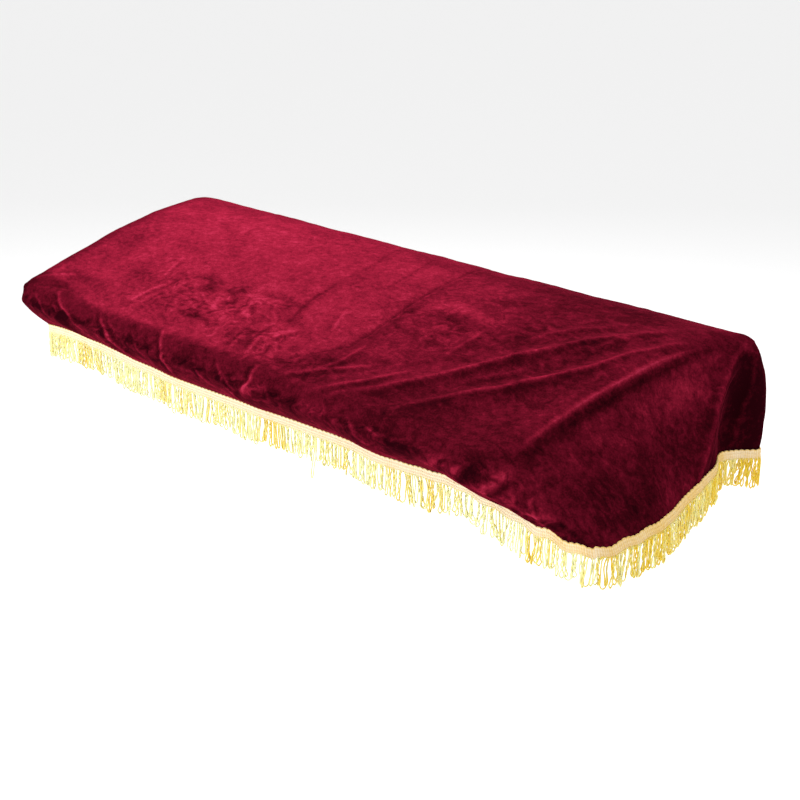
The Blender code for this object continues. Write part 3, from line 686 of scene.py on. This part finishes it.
# Where the pile on the top was crushed into small patches: centre in plan, reach along and across, how much.
# Then how much it is everywhere else on the top and on each side
CRUSHED = (
    (-0.25, -0.12, 0.07, 0.045, 0.7), (-0.14, -0.11, 0.08, 0.045, 0.7), (-0.04, -0.15, 0.06, 0.03, 0.6),
    (0.13, -0.03, 0.06, 0.05, 0.5), (0.06, -0.17, 0.06, 0.025, 0.5), (0.3, 0.0, 0.15, 0.15, 0.35),
)
CRUSHED_LEAST = 0.36
CRUSHED_CHANGE_OVER = 0.2
CRUSHED_SIDES = {"front": 1.20, "right": 0.60, "back": 0.30, "left": 0.35}


def summed_marks(marks, across, down):
    """The sum of soft marks at each place."""
    total = np.zeros(len(across))
    for at_across, at_down, wide, tall, strength in marks:
        total += strength * np.exp(-((across - at_across) / wide) ** 2 - ((down - at_down) / tall) ** 2)
    return total


side, share = sheet_places["side"], sheet_places["share"]
plan_x, plan_y = sheet_points[:, 0], sheet_points[:, 1] + BEARING_Y
# The top's tone: lighter left of the pile line, darker towards the right, partly the pile and partly painted
# shade
past_line = plan_x - curve(PILE_LINE, plan_y, 1)
at_line = np.clip(past_line / LINE_SOFT + 0.5, 0, 1)
fading = np.clip(past_line / RIGHT_FADE, 0, 1) ** RIGHT_FADE_POWER
tone = LEFT_TONE - LINE_DROP * at_line - (LEFT_TONE - LINE_DROP - RIGHT_TONE) * fading
# Marks on the top: partly the pile, partly painted light and painted shade on the folds
tone += summed_marks(PILE_AND_LIGHT_MARKS_TOP, plan_x, plan_y)
# Painted shade where the top rolls over to the front, at the back and at the left edge
past_roll = curve(ROLL_LINE, plan_x, 1) - plan_y + ROLL_WANDER * uneven(sheet_points, ROLL_LUMPS, 4)
tone += (np.minimum(tone, ROLL_SHADE_TONE) - tone) * np.clip(past_roll / ROLL_SOFT + 0.5, 0, 1)
at_back = np.clip((plan_y - BACK_PAINTED_SHADE["from_y"]) / BACK_PAINTED_SHADE["over"], 0, 1)
before_ridge = np.clip((BACK_PAINTED_SHADE["until_x"] - plan_x) / BACK_PAINTED_SHADE["fading"], 0, 1)
tone -= BACK_PAINTED_SHADE["tone"] * at_back * before_ridge
tone -= LEFT_PAINTED_SHADE["tone"] * np.clip(1 - (plan_x - top_x(0, plan_y)) / LEFT_PAINTED_SHADE["over"], 0, 1)
# The sides: darker than the top as painted shade, with their marks, partly painted light and shade, and on
# the slack end the painted shade behind its big fold
for name, marks in (("front", PILE_AND_LIGHT_MARKS_FRONT), ("right", PILE_AND_LIGHT_MARKS_RIGHT), ("back", ()), ("left", ())):
    here = side == name
    down = eased((share[here] - SIDE_CHANGE_FROM) / SIDE_CHANGE_OVER)
    side_tone = np.full(here.sum(), SIDE_SHADE_TONE[name])
    if marks:
        along = sheet_places[name, "along"][here]
        side_tone += summed_marks(marks, along, share[here])
    if name == "right":
        behind = np.clip((along - curve(SHADE_LINE, share[here], 1)) / SHADE_SOFT, 0, 1)
        side_tone += (SHADE_TONE - side_tone) * behind
    tone[here] += (side_tone - tone[here]) * down
# The creases' lines: painted sheen along their crests and painted shade beside them, partly the pile
tone += crease_sheen_and_shade
crushed = np.minimum(1, CRUSHED_LEAST + summed_marks(CRUSHED, plan_x, plan_y))
crushed_side = np.full(len(side), CRUSHED_LEAST)
for name, amount in CRUSHED_SIDES.items():
    crushed_side[side == name] = amount
crushed += (crushed_side - crushed) * np.minimum(1, share / CRUSHED_CHANGE_OVER)
store(cover, "tone", tone)
store(cover, "crushed", crushed)

cloth_thickness = cover.modifiers.new("thickness", "SOLIDIFY")
cloth_thickness.thickness = VELVET_THICK
cloth_thickness.offset = -1
cloth_thickness.material_offset = 1
bpy.ops.object.select_all(action="DESELECT")
bpy.context.view_layer.objects.active = cover
cover.select_set(True)
bpy.ops.object.modifier_apply(modifier="thickness")

# The reverse shows little, so it keeps fewer faces
reverse = cover.vertex_groups.new(name="reverse")
reverse.add(range(len(sheet_points), 2 * len(sheet_points)), 1.0, "REPLACE")
fewer = cover.modifiers.new("fewer", "DECIMATE")
fewer.ratio = REVERSE_KEPT
fewer.vertex_group = "reverse"
bpy.ops.object.modifier_apply(modifier="fewer")
cover.vertex_groups.clear()


def uneven_group():
    """The node group that the velvet and the fringe share: a noise about a middle, by an amount."""
    group = bpy.data.node_groups.new("uneven", "ShaderNodeTree")
    for name in ("Place", "Stretch"):
        group.interface.new_socket(name, in_out="INPUT", socket_type="NodeSocketVector")
    for name in ("Scale", "Detail", "Swirl", "Middle", "Amount"):
        group.interface.new_socket(name, in_out="INPUT", socket_type="NodeSocketFloat")
    group.interface.new_socket("Value", in_out="OUTPUT", socket_type="NodeSocketFloat")
    nodes, links = group.nodes, group.links
    given, result = nodes.new("NodeGroupInput"), nodes.new("NodeGroupOutput")
    stretched = nodes.new("ShaderNodeVectorMath")
    stretched.operation = "MULTIPLY"
    texture = nodes.new("ShaderNodeTexNoise")
    about = nodes.new("ShaderNodeMath")
    about.operation = "SUBTRACT"
    scaled = nodes.new("ShaderNodeMath")
    scaled.operation = "MULTIPLY"
    for source, target in (
            (given.outputs["Place"], stretched.inputs[0]),
            (given.outputs["Stretch"], stretched.inputs[1]),
            (stretched.outputs["Vector"], texture.inputs["Vector"]),
            (given.outputs["Scale"], texture.inputs["Scale"]),
            (given.outputs["Detail"], texture.inputs["Detail"]),
            (given.outputs["Swirl"], texture.inputs["Distortion"]),
            (texture.outputs["Fac"], about.inputs[0]),
            (given.outputs["Middle"], about.inputs[1]),
            (about.outputs[0], scaled.inputs[0]),
            (given.outputs["Amount"], scaled.inputs[1]),
            (scaled.outputs[0], result.inputs["Value"])):
        links.new(source, target)
    return group


UNEVEN = uneven_group()


def uneven_value(tree, scale, detail, amount=1.0, middle=0.5, stretch=(1.0, 1.0, 1.0), swirl=0.0):
    """One use of the shared group on a material's own coordinates."""
    node = tree.nodes.new("ShaderNodeGroup")
    node.node_tree = UNEVEN
    place = tree.nodes.new("ShaderNodeTexCoord")
    tree.links.new(place.outputs["Object"], node.inputs["Place"])
    for name, value in (("Stretch", stretch), ("Scale", scale), ("Detail", detail), ("Swirl", swirl),
                        ("Middle", middle), ("Amount", amount)):
        node.inputs[name].default_value = value
    return node.outputs["Value"]


def attribute_value(tree, name):
    """A value stored on the mesh's points."""
    node = tree.nodes.new("ShaderNodeAttribute")
    node.attribute_name = name
    return node.outputs["Fac"]


def combined(tree, operation, values):
    """Values joined one after another by a math operation. A number may be among them."""
    total = values[0]
    for value in values[1:]:
        node = tree.nodes.new("ShaderNodeMath")
        node.operation = operation
        tree.links.new(total, node.inputs[0])
        if isinstance(value, float):
            node.inputs[1].default_value = value
        else:
            tree.links.new(value, node.inputs[1])
        total = node.outputs[0]
    return total


def add_bump(tree, height, strength, distance, under=None):
    """A bump, over another one if given, that is the shader's normal."""
    bump = tree.nodes.new("ShaderNodeBump")
    bump.inputs["Strength"].default_value = strength
    bump.inputs["Distance"].default_value = distance
    tree.links.new(height, bump.inputs["Height"])
    if under:
        tree.links.new(under, bump.inputs["Normal"])
    tree.links.new(bump.outputs["Normal"], tree.nodes["Principled BSDF"].inputs["Normal"])
    return bump.outputs["Normal"]


def plain_material(name, **constants):
    """A new material and its node tree, with constants on its shader's sockets."""
    material = bpy.data.materials.new(name)
    material.use_nodes = True
    for socket, value in constants.items():
        material.node_tree.nodes["Principled BSDF"].inputs[socket.replace("_", " ")].default_value = value
    return material, material.node_tree


VELVET_TONES = (
    (0.00, (0.018, 0.001, 0.003)), (0.25, (0.052, 0.002, 0.006)), (0.50, (0.120, 0.004, 0.014)),
    (0.75, (0.240, 0.009, 0.028)), (1.00, (0.390, 0.022, 0.060)),
)


def velvet_material():
    """Cotton velvet: a short upright pile that is dark face on, glows at a glancing view, and keeps marks."""
    material, tree = plain_material(
        "wine_velvet", Roughness=0.85, Specular_IOR_Level=0.0, Sheen_Weight=0.22, Sheen_Roughness=0.30,
        Sheen_Tint=(1.0, 0.05, 0.13, 1))
    spots = combined(tree, "ADD", [
        uneven_value(tree, 22.0, 4.0, 0.70, 0.52, (0.8, 1.3, 1.0), 0.6),
        uneven_value(tree, 62.0, 5.0, 1.15, 0.52, (0.9, 1.2, 1.0), 1.2),
    ])
    # The stored tone holds the pile's own marks and also painted light and painted shade: darker sides and
    # turned edges, shade by the folds and sheen along the creases
    tone = combined(tree, "ADD", [
        attribute_value(tree, "tone"),
        combined(tree, "MULTIPLY", [spots, attribute_value(tree, "crushed")]),
        uneven_value(tree, 9.0, 3.0, 0.24, 0.5, (1.0, 1.5, 1.0)),
        uneven_value(tree, 150.0, 3.0, 0.45, 0.5, (0.8, 1.2, 1.0), 0.5),
        uneven_value(tree, 480.0, 2.0, 0.45),
    ])
    ramp = tree.nodes.new("ShaderNodeValToRGB")
    while len(ramp.color_ramp.elements) < len(VELVET_TONES):
        ramp.color_ramp.elements.new(0.5)
    for element, (position, colour) in zip(ramp.color_ramp.elements, VELVET_TONES):
        element.position = position
        element.color = (*colour, 1)
    tree.links.new(tone, ramp.inputs["Fac"])
    tree.links.new(ramp.outputs["Color"], tree.nodes["Principled BSDF"].inputs["Base Color"])
    pile = add_bump(tree, uneven_value(tree, 900.0, 2.0), 0.35, 0.0006)
    add_bump(tree, uneven_value(tree, 110.0, 4.0, stretch=(0.7, 1.2, 1.0)), 0.35, 0.0020, pile)
    return material


def velvet_back_material():
    """The velvet's reverse: a plain, matt ground weave a little darker than the pile."""
    material, tree = plain_material(
        "velvet_reverse", Base_Color=(0.13, 0.012, 0.030, 1), Roughness=0.9, Specular_IOR_Level=0.15)
    weave = tree.nodes.new("ShaderNodeTexChecker")
    weave.inputs["Scale"].default_value = 1400.0
    tree.links.new(tree.nodes.new("ShaderNodeTexCoord").outputs["Object"], weave.inputs["Vector"])
    add_bump(tree, weave.outputs["Fac"], 0.4, 0.0003)
    return material


cover.data.materials.append(velvet_material())
cover.data.materials.append(velvet_back_material())
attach(cover, "root")
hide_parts("velvet_cover")

# The fringe's header: a band of cream and gold rayon gimp, sewn over the hem's outside. Fine cords run along
# it over close upright ribs, and its upper edge is a row of small scallops. Its two ends meet at the back.
HEADER_CLEAR = 0.0008
HEADER_THICK = 0.0009
HEADER_STEP = 0.0012
SCALLOP_LONG = 0.0072
SCALLOP_TALL = 0.0015
SCALLOP_FULLNESS = 0.7
SCALLOP_ROOTS = 0.125
RIB_LONG = 0.0028
ENDS_PARTED = 0.0012

# The band's section: share down it, and share of its thickness there
BAND = ((0.0, 0.4), (0.08, 1.0), (0.5, 1.0), (0.92, 1.0), (1.0, 0.5))

# Its cords, from the edge cord down: share down the band, swing, phase, radius
HEADER_CORDS = (
    (0.03, 0.0, 0.0, 0.00050), (0.32, 0.09, 0.0, 0.00042), (0.32, 0.09, math.pi, 0.00042),
    (0.66, 0.09, 0.0, 0.00042), (0.66, 0.09, math.pi, 0.00042), (0.97, 0.0, 0.0, 0.00055),
)
CORD_SIDES = 4
CORD_WEAVE = 0.00015

# The colour's depth on the front, where it is paler as painted light, how much more it is beside it, and how
# far that reaches round to the front. It is deeper in the edge cord, and round the slack end's front corner
# as
# painted shade: x, y, reach, how much
HEADER_DEPTH_AND_FRONT_LIGHT = (0.05, 0.80, 1.2)
EDGE_CORD_DEEPER = 0.7
CORNER_PAINTED_SHADE = ((0.480, -0.283, 0.034, 0.55),)


def ring_path(step):
    """Places round the hem at an even step from the middle of the back: seam, hem, way out and distance."""
    seam_ring, hem_ring = sheet_rings[SIDE_ROWS], sheet_rings[-1]
    seam, hem, out = sheet_points[seam_ring], sheet_points[hem_ring], sheet_normals[hem_ring]
    out = out + sheet_normals[seam_ring]
    back = np.flatnonzero(out[:, 1] > abs(out[:, 0]))
    start = back[np.argmin(abs(hem[back, 0]))]
    order = np.append(np.roll(np.arange(len(hem)), -start), start)
    seam, hem, out = seam[order], hem[order], out[order]
    passed = np.append(0, np.cumsum(np.linalg.norm(np.diff((seam + hem) / 2, axis=0), axis=1)))
    count = round(passed[-1] / step)
    at = np.linspace(ENDS_PARTED / 2, passed[-1] - ENDS_PARTED / 2, count + 1)
    seam, hem, out = (
        np.stack([np.interp(at, passed, rows[:, k]) for k in range(3)], -1) for rows in (seam, hem, out))
    return seam, hem, out / np.linalg.norm(out, axis=1, keepdims=True), at


def depth_with_front_light(places, out, levels, clumps):
    """How deep the colour is at each place of the fringe: least on the front, paler there as painted light,
    and more or less in clumps.
    """
    front, beside, round_to = levels
    deep = front + beside * (1 + round_to * out[:, 1]).clip(0, 1)
    for x, y, reach, more in clumps:
        deep += more * np.exp(-(np.hypot(places[:, 0] - x, places[:, 1] - y) / reach) ** 2)
    return deep


def tubes(paths, radius, sides, way_out):
    """Cords of a few sides along many paths at once: points, faces and the points' numbers.

    paths and way_out have the shape (cords, points, 3)."""
    cords, count, _ = paths.shape
    way = np.gradient(paths, axis=1)
    way /= np.maximum(np.linalg.norm(way, axis=2, keepdims=True), 1e-12)
    across = np.cross(way, way_out)
    across /= np.maximum(np.linalg.norm(across, axis=2, keepdims=True), 1e-12)
    normal = np.cross(across, way)
    turns = np.arange(sides) / sides * 2 * np.pi
    ring = across[:, :, None] * np.cos(turns)[:, None] + normal[:, :, None] * np.sin(turns)[:, None]
    points = (paths[:, :, None] + ring * radius).reshape(-1, 3)
    number = np.arange(cords * count * sides).reshape(cords, count, sides)
    here, there = number[:, :-1], number[:, 1:]
    around = np.stack([here, there, np.roll(there, -1, 2), np.roll(here, -1, 2)], -1).reshape(-1, 4)
    return points, around, number


def closed_ends(number):
    """End faces for cords of any number of sides, as fans about their first corner."""
    fans = []
    for ring, backwards in ((number[:, 0], True), (number[:, -1], False)):
        for k in range(1, ring.shape[1] - 1):
            fan = np.stack([ring[:, 0], ring[:, k], ring[:, k + 1]], -1)
            fans.append(fan[:, ::-1] if backwards else fan)
    return np.concatenate(fans)


def make_header():
    """The band, its scalloped upper cord, and the cords along it, as one mesh."""
    seam, hem, out, at = ring_path(HEADER_STEP)
    down = hem - seam
    unit = down / np.linalg.norm(down, axis=1, keepdims=True)
    scallop = SCALLOP_TALL * abs(np.sin(np.pi * at / SCALLOP_LONG)) ** SCALLOP_FULLNESS
    outer, inner = [], []
    for level, full in BAND:
        raised = max(0, 1 - level / SCALLOP_ROOTS)
        line = seam + down * level - unit * (scallop * raised)[:, None]
        outer.append(line + out * (HEADER_CLEAR + HEADER_THICK * full))
        inner.append(line + out * HEADER_CLEAR)
    section = np.stack(outer + inner[::-1], 1)
    count, around = section.shape[:2]
    number = np.arange(count * around).reshape(count, around)
    here, there = number[:-1], number[1:]
    faces = np.stack([here, np.roll(here, -1, 1), np.roll(there, -1, 1), there], -1).reshape(-1, 4).tolist()
    faces += [number[0].tolist()[::-1], number[-1].tolist()]
    points = [section.reshape(-1, 3)]

    # Cords along the band: a plain one at each edge, and two waved pairs that cross each other
    offset = len(points[0])
    for level, swing, phase, radius in HEADER_CORDS:
        turn = 2 * np.pi * at / SCALLOP_LONG + phase
        rise = CORD_WEAVE * np.cos(turn) * (swing > 0)
        path = seam + down * (level + swing * np.sin(turn))[:, None]
        path += out * (HEADER_CLEAR + HEADER_THICK + rise)[:, None]
        if level == HEADER_CORDS[0][0]:
            path -= unit * scallop[:, None]
        tube, sides, numbers = tubes(path[None], radius, CORD_SIDES, out[None])
        points.append(tube)
        faces += (sides + offset).tolist() + (closed_ends(numbers) + offset).tolist()
        offset += len(tube)
    band = mesh_of("fringe_header", np.concatenate(points), faces)
    # Paler on the front as painted light, darker round the slack end's front corner as painted shade
    deep = depth_with_front_light(hem, out, HEADER_DEPTH_AND_FRONT_LIGHT, CORNER_PAINTED_SHADE)
    cord_deep = np.repeat(deep, CORD_SIDES)
    other_cords = np.tile(cord_deep, len(HEADER_CORDS) - 1)
    store(band, "deep", np.concatenate([np.repeat(deep, around), cord_deep + EDGE_CORD_DEEPER, other_cords]))
    cords_at = np.tile(np.repeat(at, CORD_SIDES), len(HEADER_CORDS))
    store(band, "passed", np.concatenate([np.repeat(at, around), cords_at]))
    return band


def rayon_material(name, pale, deep, gloss, patchy, let_through=0.0, ribs=0.0):
    """Viscose rayon: smooth shiny yarn, whose dye took unevenly, in patches and from loop to loop."""
    material, tree = plain_material(
        name, Roughness=gloss, Specular_IOR_Level=0.5, Sheen_Weight=0.3, Sheen_Roughness=0.4,
        Sheen_Tint=(1.0, 0.93, 0.72, 1), Subsurface_Weight=let_through, Subsurface_Radius=(1.0, 0.85, 0.35),
        Subsurface_Scale=0.0015)
    # The stored depth makes the fringe paler on the front as painted light, and the header darker round one
    # corner as painted shade
    terms = [
        attribute_value(tree, "deep"),
        uneven_value(tree, 45.0, 2.0, patchy, 0.5, (1.0, 1.0, 0.35)),
        uneven_value(tree, 420.0, 2.0, 0.9, 0.5, (1.0, 1.0, 0.3)),
    ]
    if ribs:
        turns = combined(tree, "MULTIPLY", [attribute_value(tree, "passed"), 2 * math.pi / RIB_LONG])
        terms.append(combined(tree, "MULTIPLY", [combined(tree, "SINE", [turns, 0.0]), ribs]))
    mix = tree.nodes.new("ShaderNodeMix")
    mix.data_type = "RGBA"
    mix.inputs["A"].default_value = (*pale, 1)
    mix.inputs["B"].default_value = (*deep, 1)
    tree.links.new(combined(tree, "ADD", terms), mix.inputs["Factor"])
    tree.links.new(mix.outputs["Result"], tree.nodes["Principled BSDF"].inputs["Base Color"])
    add_bump(tree, uneven_value(tree, 1500.0, 1.0, stretch=(1.0, 1.0, 0.5)), 0.5, 0.0003)
    return material


header = make_header()
header.data.materials.append(
    rayon_material("cream_gimp", (0.97, 0.81, 0.57), (0.88, 0.58, 0.15), gloss=0.5, patchy=0.8, ribs=0.22))
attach(header, "root")
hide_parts("fringe_trim")

# The fringe's loops: each is one gold rayon cord that leaves the header, hangs down and turns back up, its
# two legs loosely twisted round each other. They hang unevenly, lean on their neighbours, and a few are
# pulled long.
LOOP_PITCH = {"front": 0.0046, "right": 0.0036, "back": 0.0046, "left": 0.0046}
LOOP_LONG = 0.0375
LOOP_UNEVEN = 0.0045
LOOP_SIDES = 5
CORD_THICK = 0.00088
LEG_POINTS = 14
LONG_LOOPS = 0.008
PULLED_LONGER = 0.012
LEAN = 0.05
SWAY = 0.0012

# Some loops hang open. Of open loops and twisted ones: least and most room between the legs, and between
# them at the eye at the bottom, and turns that the legs take round each other
OPEN_LOOPS = 0.30
OPEN_APART = (0.0014, 0.0040)
TWISTED_APART = (0.0009, 0.0014)
OPEN_EYE = 0.0002
TWISTED_EYE = (0.0006, 0.0020)
TWISTED_TURNS = (0.8, 2.2)

# Shares down a loop: where the twist stops, the eye's middle and reach, the bend at the bottom, the root
TWIST_TO = 0.8
EYE_AT = 0.90
EYE_REACH = 0.07
BEND_FROM = 0.86
ROOT_SHARE = 0.08

# How far the legs part at the root, how high up and how far out of the hem it is, and the loop's way out
ROOT_APART = 0.0009
ROOT_UP = 0.0014
ROOT_OUT = 0.0006
HANG_OUT = 0.02

# The colour's depth, as for the header, paler on the front as painted light
LOOP_DEPTH_AND_FRONT_LIGHT = (0.15, 0.80, 1.1)

# Drifts of length, lean and dye along the fringe: over how many loops, how much. Then how uneven length and
# dye are from loop to loop, and the limits of length. The lengths are all in units of LOOP_UNEVEN
LONG_DRIFT = (7, 0.6)
LEAN_DRIFT = (4, 0.06)
DYE_DRIFT = (6, 0.24)
LONG_UNEVEN = 0.5
DYE_UNEVEN = 0.20
LONG_LIMITS = (-1.8, 1.3)

# Loops pulled out long: x, y, how much longer. And clumps of loops that took more dye or less: x, y, reach,
# how much more
PULLED_LOOPS = ((0.095, -0.290, 0.021), (0.492, -0.270, 0.010))
DYED_CLUMPS = (
    (0.018, -0.290, 0.016, 0.9), (0.290, -0.290, 0.012, 0.4), (-0.105, -0.290, 0.010, 0.35),
    (-0.400, -0.290, 0.012, 0.3), (0.505, 0.035, 0.045, 0.6), (0.500, -0.130, 0.050, -0.25),
)
chance = np.random.default_rng(7)


def drifting(count, every, spread_out):
    """A chance value for each loop that changes slowly from loop to loop."""
    knots = np.arange(0, count + 2 * every, every)
    return np.interp(np.arange(count), knots, chance.normal(0, spread_out, len(knots)))


def side_faced(out):
    """The side that each place of the hem faces."""
    end = np.where(out[:, 0] > 0, "right", "left")
    return np.where(abs(out[:, 0]) > abs(out[:, 1]), end, np.where(out[:, 1] > 0, "back", "front"))


def make_loops(side, pitch):
    """The loops of one side, as one mesh."""
    seam, hem, out, at = ring_path(pitch)
    here = side_faced(out) == side
    root, out = hem[here], out[here]
    along = np.gradient(hem, axis=0)[here]
    along /= np.linalg.norm(along, axis=1, keepdims=True)
    count = len(root)
    column = (count, 1)
    longer_by = drifting(count, *LONG_DRIFT) + chance.normal(0, LONG_UNEVEN, count)
    long = LOOP_LONG + LOOP_UNEVEN * longer_by.clip(*LONG_LIMITS)
    long += PULLED_LONGER * (chance.random(count) < LONG_LOOPS)
    for *place, longer in PULLED_LOOPS:
        gap = np.hypot(*(root[:, :2] - place).T)
        if gap.min() < 2 * pitch:
            long[gap.argmin()] = LOOP_LONG + longer
    lean = drifting(count, *LEAN_DRIFT) + chance.normal(0, LEAN, count)
    is_open = (chance.random(count) < OPEN_LOOPS)[:, None]
    apart = np.where(is_open, chance.uniform(*OPEN_APART, column), chance.uniform(*TWISTED_APART, column))
    turns = np.where(is_open, 0.0, chance.uniform(*TWISTED_TURNS, column) * chance.choice([-1, 1], column))
    eye = np.where(is_open, OPEN_EYE, chance.uniform(*TWISTED_EYE, column))
    start = chance.uniform(-0.5, 0.5, column)
    sway = chance.normal(0, SWAY, column)

    # Down one leg and up the other, twisted round each other as far as the eye at the bottom
    one_leg = np.sin(np.linspace(0, np.pi / 2, LEG_POINTS))
    down = np.concatenate([one_leg, one_leg[-2::-1]])[None]
    leg = np.concatenate([np.ones(LEG_POINTS), -np.ones(LEG_POINTS - 1)])[None]
    leg[0, LEG_POINTS - 1] = 0
    angle = start + turns * 2 * np.pi * np.minimum(down, TWIST_TO)
    bend = ((down - BEND_FROM) / (1 - BEND_FROM)).clip(0, 1)
    reach = (apart + eye * np.exp(-((down - EYE_AT) / EYE_REACH) ** 2)) * np.sqrt(1 - bend ** 2) * leg
    at_root = np.exp(-(down / ROOT_SHARE) ** 2)
    drop = long[:, None] * down
    side_way = reach * np.cos(angle) * (1 - at_root) + leg * ROOT_APART * at_root
    side_way += lean[:, None] * drop + sway * np.sin(2 * np.pi * down * TWIST_TO)
    out_way = reach * np.sin(angle) * (1 - at_root) + ROOT_OUT + HEADER_CLEAR + HANG_OUT * drop
    paths = root[:, None] + along[:, None] * side_way[..., None] + out[:, None] * out_way[..., None]
    paths[..., 2] -= drop - ROOT_UP
    way_out = np.broadcast_to(out[:, None], paths.shape)
    points, faces, number = tubes(paths, CORD_THICK, LOOP_SIDES, way_out)
    loops = mesh_of("fringe_" + side, points, faces.tolist() + closed_ends(number).tolist())
    # Paler on the front as painted light
    deep = depth_with_front_light(root, out, LOOP_DEPTH_AND_FRONT_LIGHT, DYED_CLUMPS)
    deep += drifting(count, *DYE_DRIFT) + chance.normal(0, DYE_UNEVEN, count)
    store(loops, "deep", np.repeat(deep, paths.shape[1] * LOOP_SIDES))
    return loops


gold = rayon_material(
    "gold_rayon", (1.0, 0.97, 0.50), (0.94, 0.66, 0.02), gloss=0.35, patchy=1.6, let_through=0.35)
loops = [make_loops(side, pitch) for side, pitch in LOOP_PITCH.items()]
for piece in loops:
    piece.data.materials.append(gold)
    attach(piece, "root")
    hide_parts("fringe_trim")
